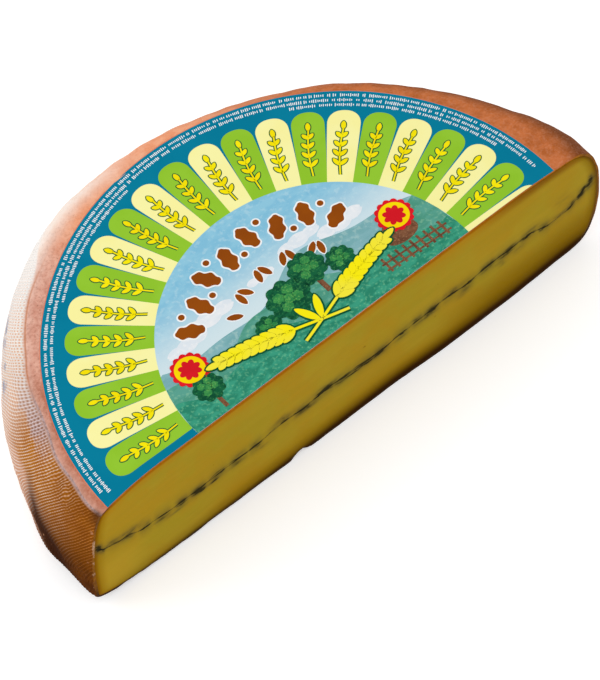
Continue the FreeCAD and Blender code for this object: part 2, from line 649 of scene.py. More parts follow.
def fresh_graph(owner: bpy.types.Material | bpy.types.World) -> Graph:
    """Clears a material's or a world's nodes and starts a graph there.

    Args:
        owner: the material or the world.

    Returns:
        The empty graph.
    """
    owner.use_nodes = True
    owner.node_tree.nodes.clear()
    return Graph(owner.node_tree)


class SharedLooks:
    """The node groups that several finishes use, each built once."""

    PAPER_DEPTH = 0.015

    def __init__(self) -> None:
        """Builds every group."""
        self.mottle = self._mottle()
        self.grain = self._grain()
        self.cloth = self._cloth()

    def patches(
        self, g: Graph, size: float, low: float = 0.4, high: float = 0.6, where: Socket | None = None
    ) -> Socket:
        """Places the mottle in a material.

        Args:
            g: the material's graph.
            size: of the patches, in millimetres.
            low: the noise value at which a patch begins; higher leaves fewer patches.
            high: the noise value at which it is full.
            where: coordinates, or None for the piece's own.

        Returns:
            The mask of the patches.
        """
        place = g.place() if where is None else where
        inputs = {"Vector": place, "Size": size, "Low": low, "High": high}
        return g.group(self.mottle, inputs).outputs["Patch"]

    def paper(self, g: Graph) -> Socket:
        """The height of fine paper grain."""
        inputs = {"Vector": g.place(), "Size": 0.9, "Pores": 0.2}
        return g.group(self.grain, inputs).outputs["Height"]

    @staticmethod
    def _tree(name: str, inputs: dict[str, float | None], outputs: list[str]) -> tuple:
        """A new group with its sockets.

        Args:
            name: the group's name.
            inputs: each input's value, or None for a vector.
            outputs: each output's name.

        Returns:
            The tree, its graph, the input node's sockets and the output node's.
        """
        tree = bpy.data.node_groups.new(name, "ShaderNodeTree")
        for label, value in inputs.items():
            kind = "NodeSocketVector" if value is None else "NodeSocketFloat"
            made = tree.interface.new_socket(label, in_out="INPUT", socket_type=kind)
            if value is not None:
                made.default_value = value
        for label in outputs:
            tree.interface.new_socket(label, in_out="OUTPUT", socket_type="NodeSocketFloat")
        graph = Graph(tree)
        return tree, graph, graph.node("NodeGroupInput").outputs, graph.node("NodeGroupOutput").inputs

    def _mottle(self) -> bpy.types.NodeTree:
        """Soft patches of one size, from 0 between them to 1 inside.

        Returns:
            The group's tree.
        """
        tree, g, given, out = self._tree(
            "mottle", {"Vector": None, "Size": 10.0, "Low": 0.4, "High": 0.6}, ["Patch"]
        )
        found = g.noise(given["Vector"], g.math("DIVIDE", PER_METRE, given["Size"]), 4.0)
        step = g.node("ShaderNodeMapRange", {"Value": found}, interpolation_type="SMOOTHSTEP")
        g.feed(step.inputs["From Min"], given["Low"])
        g.feed(step.inputs["From Max"], given["High"])
        g.feed(out["Patch"], step.outputs["Result"])
        return tree

    def _grain(self) -> bpy.types.NodeTree:
        """Fine skin: rounded bumps of one size with pores between them.

        Returns:
            The group's tree.
        """
        tree, g, given, out = self._tree(
            "grain", {"Vector": None, "Size": 1.4, "Pores": 0.5}, ["Height"]
        )
        scale = g.math("DIVIDE", PER_METRE, given["Size"])
        bumps = g.noise(given["Vector"], scale, 2.0)
        cells = g.node("ShaderNodeTexVoronoi", {"Vector": given["Vector"], "Scale": scale})
        pits = g.band(cells.outputs["Distance"], 0.22, 0.05)
        g.feed(out["Height"], g.math("SUBTRACT", bumps, g.times(pits, given["Pores"])))
        return tree

    def _cloth(self) -> bpy.types.NodeTree:
        """The print of a cloth band: ridges broken into beads by the cross threads.

        Returns:
            The group's tree.
        """
        tree, g, given, out = self._tree(
            "cloth_print", {"Ridge": 0.0, "Down": 0.0, "Thread": 2.2, "Notch": 0.5}, ["Crest", "Knots"]
        )
        wave = g.math("MULTIPLY_ADD", g.math("COSINE", g.times(given["Ridge"], 2 * math.pi)), 0.5, 0.5)
        number = g.math("FLOOR", given["Ridge"])
        shift = g.node("ShaderNodeTexWhiteNoise", {"W": number}, noise_dimensions="1D").outputs["Value"]
        across = g.math("ADD", g.math("DIVIDE", given["Down"], given["Thread"]), g.times(shift, 0.7))
        threads = g.math("MULTIPLY_ADD", g.math("COSINE", g.times(across, 2 * math.pi)), 0.5, 0.5)
        notch = g.math("SUBTRACT", 1.0, g.times(given["Notch"], threads))
        g.feed(out["Knots"], g.times(g.math("SUBTRACT", 1.0, wave), threads))
        g.feed(out["Crest"], g.times(g.math("POWER", wave, 1.5), notch))
        return tree


class Finish:
    """A surface that makes its own material."""

    name: str = "finish"
    rough: float = 0.6
    shine: float = 0.35

    def surface(self, g: Graph, looks: SharedLooks) -> Inputs:
        """Wires the surface.

        Args:
            g: the material's graph.
            looks: the shared groups.

        Returns:
            The shader's inputs, with Height and Depth for relief.
        """
        raise NotImplementedError

    def material(self, looks: SharedLooks) -> bpy.types.Material:
        """Builds the material round this finish's surface.

        Args:
            looks: the shared groups.

        Returns:
            The new material.
        """
        made = bpy.data.materials.new(self.name)
        g = fresh_graph(made)
        inputs = {"Roughness": self.rough, "Specular IOR Level": self.shine}
        inputs.update(self.surface(g, looks))
        height, depth = inputs.pop("Height", None), inputs.pop("Depth", 0.1)
        shader = g.node("ShaderNodeBsdfPrincipled", inputs)
        if height is not None:
            bump = g.node("ShaderNodeBump", {"Height": height, "Distance": depth * MM, "Strength": 1.0})
            g.feed(shader.inputs["Normal"], bump.outputs["Normal"])
        made.diffuse_color = screen((200, 150, 90))
        g.node("ShaderNodeOutputMaterial", {"Surface": shader.outputs[0]})
        return made


@dataclass(frozen=True)
class RindFinish(Finish):
    """Brine-washed rind: cloth print, pale mould with painted highlight, brown foot with painted shade.

    A pair of tints is mottled: the first lies between the patches and the second in them.
    """

    name: str = "washed_rind"
    rough: float = 0.6
    shine: float = 0.015
    groove: Pair = ((188, 116, 30), (160, 88, 22))
    crest: Pair = ((250, 220, 198), (214, 152, 96))
    low_groove: Colour = (210, 152, 118)
    low_crest: Colour = (248, 224, 210)
    end_groove: Pair = ((144, 80, 4), (120, 62, 8))
    end_crest: Pair = ((196, 122, 54), (176, 106, 48))
    end_knots: Colour = (132, 70, 14)
    lilac: Pair = ((196, 164, 158), (222, 206, 214))
    lilac_dots: Colour = (112, 78, 64)
    bloom_and_highlight: Colour = (254, 250, 246)
    bloom_and_highlight_lines: Colour = (244, 220, 196)
    bloom_and_highlight_dots: Colour = (222, 156, 114)
    blue_stain: Colour = (138, 150, 178)
    foot: Pair = ((74, 33, 0), (100, 50, 0))
    fold_shade: Colour = (58, 24, 2)
    flecks: Colour = (206, 148, 112)
    crease: Colour = (196, 112, 52)
    seam: Pair = ((136, 104, 96), (196, 178, 182))
    corner: Pair = ((74, 40, 14), (104, 60, 28))
    base: Pair = ((96, 56, 22), (124, 76, 34))
    left_skin: Pair = ((180, 106, 80), (200, 130, 106))
    back_left_skin: Pair = ((212, 148, 128), (230, 174, 154))
    back_skin: Pair = ((243, 158, 114), (249, 176, 136))
    right_skin: Pair = ((184, 98, 44), (206, 116, 64))
    skin_bloom_and_highlight: Pair = ((253, 238, 224), (254, 244, 236))
    skin_edge_shade: Pair = ((196, 122, 88), (104, 52, 14))
    wrinkle_shade_and_highlight: Pair = ((146, 84, 58), (238, 190, 168))
    skin_tip_highlights: Colour = (236, 186, 160)

    def surface(self, g: Graph, looks: SharedLooks) -> Inputs:
        """Colours the woven side, the top skin, the crease and the foot.

        Args:
            g: the material's graph.
            looks: the shared groups.

        Returns:
            The shader's inputs.
        """
        turn, down, under, woven = (g.attribute(n) for n in ("turn", "down", "under", "woven"))
        cloth = g.group(looks.cloth, {"Ridge": g.attribute("ridge"), "Down": down}).outputs
        bumps = g.group(looks.grain, {"Vector": g.place(), "Size": 2.5, "Pores": 0.3}).outputs["Height"]
        tiny = looks.patches(g, 1.3, 0.3, 0.7)
        side = self._side(g, looks, turn, down, cloth["Crest"], cloth["Knots"])
        colour = g.mix(woven, self._skin(g, looks, turn, down), side)
        # the orange brown line along the crease is painted shadow under the top skin's slight overhang
        crease = ((down, -0.9, -0.1), (down, 0.9, 0.1), (turn, 112.0, 130.0), (turn, 152.0, 144.0))
        colour = g.coat(colour, self.crease, 0.6, *crease)
        seam = ((down, -1.1, -0.3), (down, 1.0, 0.2), (turn, 145.0, 153.0))
        colour = g.coat(colour, g.mix(tiny, *self.seam), 0.75, *seam)
        corner = ((down, -3.0, 0.5), (down, 12.0, 1.0), (turn, 177.2, 179.4))
        colour = g.coat(colour, g.mix(tiny, *self.corner), 0.8, *corner)
        colour = g.mix(under, colour, g.mix(tiny, *self.base))
        ridges = g.times(cloth["Crest"], woven, g.math("SUBTRACT", 1.0, g.times(under, 0.7)), 1.1)
        skin = g.zone(bumps, g.math("MULTIPLY_ADD", woven, -2.2, 2.6), (turn, 60.0, 126.0, 0.35, 1.0))
        return {"Base Color": colour, "Height": g.total(ridges, skin), "Depth": 0.34}

    def _side(
        self, g: Graph, looks: SharedLooks, turn: Socket, down: Socket, ridges: Socket, knots: Socket
    ) -> Socket:
        """The woven side: white mould and painted highlight, gold under pale ridges, brown by the cut.

        Args:
            g: the material's graph.
            looks: the shared groups.
            turn: degrees round the wheel.
            down: distance below the crease.
            ridges: the cloth print's ridges.
            knots: the knots between the ridges.

        Returns:
            The colour.
        """
        small, patch = looks.patches(g, 6.5, 0.36, 0.64), looks.patches(g, 17.0)
        # pale crests, dark grooves: partly rubbed pale rind, partly painted highlight and painted shade on
        # the ridges
        crest = g.band(ridges, 0.22, 0.80)
        low = g.zone((down, 27.0, 42.0), (turn, 172.0, 160.0))
        low = g.math("MAXIMUM", low, g.band(turn, 155.0, 146.0))
        # brown by the cut at the left: the rind's own brown, deepened as painted shade
        end = g.band(turn, 162.0, 178.0)
        groove = g.mix(low, g.mix(g.times(patch, 0.5), *self.groove), self.low_groove)
        groove = g.mix(end, groove, g.mix(g.times(patch, 0.6), *self.end_groove))
        raised = g.mix(low, g.mix(g.times(small, 0.6), *self.crest), self.low_crest)
        raised = g.mix(end, raised, g.mix(g.times(small, 0.8), *self.end_crest))
        woven = g.coat(g.mix(crest, groove, raised), self.end_knots, 0.4, knots, (turn, 150.0, 168.0))
        # lilac bloom under the crease
        fade = g.total(down, g.times(small, 5.0))
        lilac = g.mix(knots, g.mix(crest, *self.lilac), self.lilac_dots)
        woven = g.coat(woven, lilac, 0.85, (turn, 128.0, 140.0), (turn, 166.0, 156.0), (fade, 15.0, 7.0))
        # white mould and painted highlight, with the grooves and the knots faint in it
        lines = g.zone(g.math("SUBTRACT", 1.0, crest), (turn, 122.0, 146.0, 0.08, 0.6))
        dots = g.zone(knots, (turn, 116.0, 138.0, 0.1, 1.0))
        veil = g.mix(dots, g.mix(lines, self.bloom_and_highlight, self.bloom_and_highlight_lines), self.bloom_and_highlight_dots)
        woven = g.mix(g.zone((turn, 92.0, 106.0), (turn, 158.0, 137.0)), woven, veil)
        # the blue stain far round to the left
        stain = ((turn, 124.0, 131.0), (turn, 147.0, 140.0), (down, 15.0, 20.0), (down, 31.0, 25.0))
        woven = g.coat(woven, self.blue_stain, 0.85, *stain, small)
        # darker brown rind and painted shade towards the foot at the left; painted shade along the fold
        level = g.axes()[2]
        woven = g.coat(woven, g.mix(small, *self.foot), 0.92, (level, 0.060, 0.016), (turn, 156.0, 168.0))
        high, slope = WHEEL.fold
        above = g.math("MULTIPLY_ADD", turn, slope * MM, -(high + slope * WHEEL.fold_from) * MM)
        above = g.total(level, above)
        fold = ((above, -0.011, -0.006), (above, 0.026, 0.004), (turn, 156.5, 163.0), (turn, 178.0, 170.0))
        woven = g.coat(woven, self.fold_shade, 0.95, *fold)
        return g.coat(woven, self.flecks, 0.55, looks.patches(g, 3.6, 0.66, 0.72), (turn, 152.0, 160.0))

    def _skin(self, g: Graph, looks: SharedLooks, turn: Socket, down: Socket) -> Socket:
        """The bare skin: pinkish left, salmon behind, orange brown right, with painted shade and highlight.

        Args:
            g: the material's graph.
            looks: the shared groups.
            turn: degrees round the wheel.
            down: distance below the crease.

        Returns:
            The colour.
        """
        small, tiny = looks.patches(g, 6.5, 0.36, 0.64), looks.patches(g, 1.1, 0.3, 0.7)
        skin = g.mix(small, *self.left_skin)
        skin = g.mix(g.band(turn, 152.0, 140.0), skin, g.mix(small, *self.back_left_skin))
        skin = g.mix(g.band(turn, 124.0, 104.0), skin, g.mix(small, *self.back_skin))
        skin = g.mix(g.band(turn, 78.0, 50.0), skin, g.mix(small, *self.right_skin))
        # the skin turns white below the crease from the back round to the left: mould and painted highlight
        bloom_and_highlight = g.zone((down, -5.0, 9.0), (turn, 84.0, 106.0))
        skin = g.coat(skin, g.mix(small, *self.skin_bloom_and_highlight), 0.95, bloom_and_highlight)
        # darker down the shoulder at the back and the right end: painted shade
        edge = g.mix(g.band(turn, 60.0, 36.0), *self.skin_edge_shade)
        skin = g.coat(skin, edge, 0.85, (down, 2.0, 15.0), (turn, 92.0, 60.0))
        # dark and light mottles on the skin: painted shade in hollows and painted highlight on tops
        wrinkle = g.noise(g.place(), PER_METRE / 1.7, 2.0)
        strength = g.zone((turn, 96.0, 126.0, 0.2, 0.7), (turn, 166.0, 148.0, 0.5, 1.0), (bloom_and_highlight, 0.8, 0.2))
        skin = g.coat(skin, self.wrinkle_shade_and_highlight[0], 0.36, (wrinkle, 0.50, 0.36), strength)
        skin = g.coat(skin, self.wrinkle_shade_and_highlight[1], 0.42, (wrinkle, 0.50, 0.66), strength)
        # pale flecks on the skin: painted highlight on the tips of its bumps
        return g.mix(g.zone(tiny, (turn, 70.0, 120.0, 0.08, 0.16)), skin, self.skin_tip_highlights)


@dataclass(frozen=True)
class RindEdgeFinish(Finish):
    """The rind where the knife went through it."""

    name: str = "cut_rind"
    rough: float = 0.5
    shine: float = 0.06
    top: Pair = ((170, 98, 2), (188, 116, 20))
    ends: Pair = ((126, 74, 4), (148, 92, 12))
    foot: Pair = ((44, 22, 2), (68, 38, 8))
    flakes: Colour = (220, 180, 148)
    corner: Pair = ((84, 48, 16), (120, 76, 30))

    def surface(self, g: Graph, looks: SharedLooks) -> Inputs:
        """Orange brown at the top, dark brown foot partly painted shade, a few pale flakes at the left.

        Args:
            g: the material's graph.
            looks: the shared groups.

        Returns:
            The shader's inputs.
        """
        x, _, z = g.axes()
        small, tiny = looks.patches(g, 5.0), looks.patches(g, 1.4)
        ends = g.math("MAXIMUM", g.band(x, -0.150, -0.156), g.band(x, 0.148, 0.158))
        colour = g.mix(ends, g.mix(small, *self.top), g.mix(small, *self.ends))
        # dark brown towards the base: brown rind, darkened further as painted shade
        colour = g.mix(g.band(z, 0.024, 0.006), colour, g.mix(small, *self.foot))
        flakes = (looks.patches(g, 6.0, 0.46, 0.56), g.math("MULTIPLY_ADD", tiny, 0.5, 0.3))
        flakes = g.zone((x, -0.150, -0.155), (z, 0.020, 0.028), (z, 0.063, 0.058), *flakes)
        colour = g.mix(flakes, colour, self.flakes)
        colour = g.coat(colour, g.mix(tiny, *self.corner), 0.85, (x, -0.143, -0.151), (z, 0.058, 0.064))
        return {"Base Color": colour, "Height": tiny, "Depth": 0.12}


@dataclass(frozen=True)
class PasteFinish(Finish):
    """Supple pressed paste, dull mustard yellow, darker towards its rind, ash stained, painted shade at its
    base.

    Each wisp of the stain has its reach, its size along the line, its thickness, how far it
    lies above the ash, and its strength.
    """

    name: str = "cut_paste"
    rough: float = 0.45
    shine: float = 0.01
    body: Colour = (179, 149, 38)
    warm: Colour = (180, 139, 30)
    olive: Colour = (169, 147, 36)
    drag: Colour = (166, 140, 34)
    sheen: Colour = (164, 122, 0)
    right_foot: Colour = (136, 102, 0)
    pale_end: Colour = (192, 156, 44)
    top: Pair = ((186, 126, 16), (168, 98, 2))
    shoulder: Pair = ((116, 72, 6), (140, 88, 4))
    side: Pair = ((136, 102, 0), (158, 116, 2))
    side_edge: Pair = ((108, 68, 0), (136, 86, 0))
    base: Pair = ((116, 84, 0), (48, 20, 0))
    soot: Pair = ((68, 66, 44), (36, 35, 20))
    specks: Colour = (128, 84, 10)
    wisps: Table = (
        (7.5, 9.0, 0.75, -0.9, 0.6), (10.0, 5.5, 0.65, 1.2, 0.45), (5.0, 3.2, 0.6, 0.1, 0.7),
    )

    def surface(self, g: Graph, looks: SharedLooks) -> Inputs:
        """Clouds the paste, browns its margins and smudges it along the ash.

        Args:
            g: the material's graph.
            looks: the shared groups.

        Returns:
            The shader's inputs.
        """
        patch = looks.patches(g, 18.0, 0.36, 0.64, g.mapped((0.35, 1.0, 1.0)))
        colour = g.coat(self.body, self.olive, 0.75, patch)
        colour = g.coat(colour, self.warm, 0.65, looks.patches(g, 30.0))
        colour = g.coat(colour, self.drag, 0.28, looks.patches(g, 4.5, where=g.mapped((0.09, 1.0, 1.0))))
        colour = self._smudged(g, looks, self._margins(g, colour, patch))
        colour = g.coat(colour, self.specks, 0.5, looks.patches(g, 4.6, 0.735, 0.77))
        height = g.total(patch, g.times(looks.patches(g, 1.6), 0.18))
        return {"Base Color": colour, "Height": height, "Depth": 0.12}

    def _margins(self, g: Graph, colour: Socket, patch: Socket) -> Socket:
        """Browns the margins: see-through orange near the rind, brown black over the base, partly painted
        shade.

        Args:
            g: the material's graph.
            colour: the clouded paste.
            patch: its long soft patches.

        Returns:
            The colour with its margins.
        """
        x = g.axes()[0]
        top, base, side = (g.attribute(n) for n in ("from_top", "from_base", "from_side"))
        # the base margin is narrow at the left and wide at the right
        base = g.total(base, g.band(x, -0.08, 0.04, 1.0, -1.2))
        left = g.band(x, -0.06, -0.12)
        coats = (
            (self.sheen, 0.5, (base, 20.0, 9.0), (x, -0.11, -0.07)),
            (self.right_foot, 0.75, (base, 34.0, 9.0), (x, 0.035, 0.10)),
            (self.pale_end, 0.5, (x, -0.128, -0.148), (base, 34.0, 24.0), (base, 5.0, 10.0)),
            (self.top[0], 0.5, (top, 8.0, 2.0)),
            (self.top[1], 0.9, (top, 2.6, 0.5)),
            (g.mix(patch, *self.shoulder), 0.75, (top, 9.0, 2.5), (x, 0.075, 0.125)),
            (g.mix(left, *self.side), 0.8, (side, 8.0, 1.0)),
            (g.mix(left, *self.side_edge), 0.85, (side, 3.0, 0.3)),
            # brown black along the base: paste browned by the rind, darkened further as painted shade
            (self.base[0], 1.0, (base, 13.0, 3.5), (x, -0.15, 0.03, 0.35, 1.0)),
            (self.base[1], 0.95, (base, 6.5, 0.8)),
        )
        for coat in coats:
            colour = g.coat(colour, *coat)
        return colour

    def _smudged(self, g: Graph, looks: SharedLooks, colour: Socket) -> Socket:
        """Lays the ash smudges: a halo, wandering wisps and the foot of the core.

        Args:
            g: the material's graph.
            looks: the shared groups.
            colour: the paste without its stain.

        Returns:
            The colour with the stain.
        """
        over, stain = g.attribute("over_ash"), g.attribute("stain")
        away = g.math("ABSOLUTE", over)
        long = g.mapped((0.42, 1.0, 1.0))
        fuzz = g.math("MULTIPLY_ADD", looks.patches(g, 5.5, 0.36, 0.62, long), 0.75, 0.25)
        fine = g.math("MULTIPLY_ADD", looks.patches(g, 2.6, 0.30, 0.62, long), 1.0, 0.3)
        parts = [
            g.zone((away, 5.6, 0.2), fuzz, stain, 0.64),
            g.zone((away, 10.0, 2.0), (stain, 0.1, 0.7), 0.17),
            g.times(g.attribute("smudge"), fine),
        ]
        for reach, size, thick, offset, strength in self.wisps:
            drift = g.math("SUBTRACT", g.noise(long, PER_METRE / size, 3.0), 0.5)
            off = g.math("ABSOLUTE", g.total(over, g.math("MULTIPLY_ADD", drift, reach, offset)))
            broken = g.noise(long, PER_METRE / (size * 1.3), 2.0)
            parts.append(g.zone((off, thick, thick * 0.2), (broken, 0.44, 0.56), stain, strength))
        parts.append(g.zone((away, 1.1, 0.1), stain, 0.4))
        dark = g.math("MINIMUM", g.total(*parts), 0.95)
        return g.mix(dark, colour, g.mix(g.band(dark, 0.5, 0.95), *self.soot))


@dataclass(frozen=True)
class AshFinish(Finish):
    """Vegetable ash, nearly black and faintly olive."""

    name: str = "vegetable_ash"
    rough: float = 0.85
    shine: float = 0.04
    soot: Pair = ((18, 18, 10), (50, 48, 28))

    def surface(self, g: Graph, looks: SharedLooks) -> Inputs:
        """Soot with a few greyer grains."""
        grains = looks.patches(g, 1.6, 0.35, 0.7)
        return {"Base Color": g.mix(grains, *self.soot), "Height": grains, "Depth": 0.08}


@dataclass(frozen=True)
class InkFinish(Finish):
    """Printed paper in one ink, with the faint unevenness of a real print."""

    name: str = "ink"
    colour: Colour = (0, 123, 154)
    drift: Colour = (4, 129, 160)
    drift_size: float = 24.0
    rough: float = 0.5
    shine: float = 0.03

    def surface(self, g: Graph, looks: SharedLooks) -> Inputs:
        """The ink drifts a little, over paper grain."""
        colour = g.mix(looks.patches(g, self.drift_size), self.colour, self.drift)
        return {"Base Color": colour, "Height": looks.paper(g), "Depth": looks.PAPER_DEPTH}


@dataclass(frozen=True)
class BrushFinish(Finish):
    """A painted field of the picture: two tints dabbed over a ground, paling with distance."""

    name: str = "brushed_field"
    ground: Colour = (120, 180, 180)
    dabs: Colour = (90, 160, 150)
    lights: Colour = (170, 210, 200)
    dab_size: float = 5.0
    fade: tuple[float, float] | None = None
    fade_to: Colour = (220, 235, 240)
    rough: float = 0.5
    shine: float = 0.03

    def surface(self, g: Graph, looks: SharedLooks) -> Inputs:
        """Dabs the field and fades it between two distances behind the cut.

        Args:
            g: the material's graph.
            looks: the shared groups.

        Returns:
            The shader's inputs.
        """
        dabs = looks.patches(g, self.dab_size, where=g.mapped((0.6, 1.1, 1.0), 0.3))
        flecks = looks.patches(g, self.dab_size * 0.45, 0.52, 0.66)
        colour = g.coat(self.ground, self.dabs, 0.7, dabs)
        colour = g.coat(colour, self.lights, 0.5, flecks)
        if self.fade:
            limits = ((WHEEL.cut_y + behind) * MM for behind in self.fade)
            colour = g.mix(g.band(g.axes()[1], *limits), colour, self.fade_to)
        return {"Base Color": colour, "Height": looks.paper(g), "Depth": looks.PAPER_DEPTH}


class Ink(Enum):
    """Every ink and painted tint of the label's print."""

    ORANGE = InkFinish("orange_ink", (226, 118, 78), (232, 136, 96))
    BLUE = InkFinish("blue_ink", (0, 123, 154), (2, 127, 158), 30.0)
    GREEN = InkFinish("green_ink", (146, 199, 46), (150, 203, 52))
    CREAM = InkFinish("cream_ink", (255, 250, 172), (255, 248, 164))
    DARK_GREEN = InkFinish("dark_green_ink", (14, 98, 58), (6, 88, 50))
    YELLOW = InkFinish("yellow_ink", (255, 238, 10), (250, 228, 4))
    WHITE = InkFinish("white_ink", (252, 253, 253), (244, 248, 250))
    FAR_HILL = BrushFinish("far_hill_paint", (136, 184, 190), (112, 168, 172), (176, 208, 204), 7.0)
    MIDDLE_HILL = BrushFinish("middle_hill_paint", (92, 164, 146), (70, 146, 120), (140, 194, 160), 5.0)
    MEADOW = BrushFinish("meadow_paint", (60, 158, 128), (34, 122, 96), (120, 196, 150), 3.6)
    SKY = BrushFinish(
        "sky_paint", (132, 194, 222), (150, 206, 228), (180, 218, 232), 6.0, (74.0, 34.0), (214, 232, 238)
    )
    CLOUD = BrushFinish("cloud_paint", (236, 240, 244), (222, 232, 240), (248, 248, 248), 5.0)
    WOOD = BrushFinish("wood_paint", (128, 84, 58), (92, 56, 40), (176, 130, 96), 2.5)
    CROWN = BrushFinish("crown_paint", (22, 98, 62), (8, 66, 44), (70, 150, 84), 2.6)
    CROWN_LIGHT = BrushFinish("crown_light_paint", (62, 146, 76), (34, 118, 66), (128, 192, 96), 2.2)
    GARLAND_WHITE = InkFinish("garland_white", (252, 252, 252), (244, 248, 250))
    BROWN = InkFinish("brown_ink", (152, 76, 10), (144, 70, 10))
    WHEAT_GREEN = InkFinish("wheat_green_ink", (8, 92, 56), (2, 82, 48))
    WHEAT_YELLOW = InkFinish("wheat_yellow_ink", (255, 240, 16), (250, 236, 60))
    RED = InkFinish("red_ink", (232, 30, 42), (222, 24, 38))
    FLOWER_YELLOW = InkFinish("flower_yellow_ink", (255, 226, 0), (252, 216, 0))
    HEART_RED = InkFinish("heart_red_ink", (232, 30, 42), (214, 24, 36))


# ---------------------------------------------------------------- pieces


class Slot(Enum):
    """The record's material slots."""

    PASTE = "paste"
    RIND = "rind"
    ASH = "ash"
    PRINT = "label_print"


def piece_from(bm: Mesh, name: str, materials: list) -> Piece:
    """Bows a finished bmesh with the cut and makes it a piece that rides on the one body.

    Args:
        bm: the mesh, in metres; it is freed.
        name: the piece's name.
        materials: its materials, in order of their index.

    Returns:
        The new object.
    """
    for vert in bm.verts:
        vert.co.y -= WHEEL.bow(*(vert.co / MM)) * MM
    mesh = bpy.data.meshes.new(name)
    bm.to_mesh(mesh)
    bm.free()
    for material in materials:
        mesh.materials.append(material)
    made = bpy.data.objects.new(name, mesh)
    bpy.context.scene.collection.objects.link(made)
    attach(made, "root")
    LOG.info("%s: %d faces", name, len(mesh.polygons))
    return made


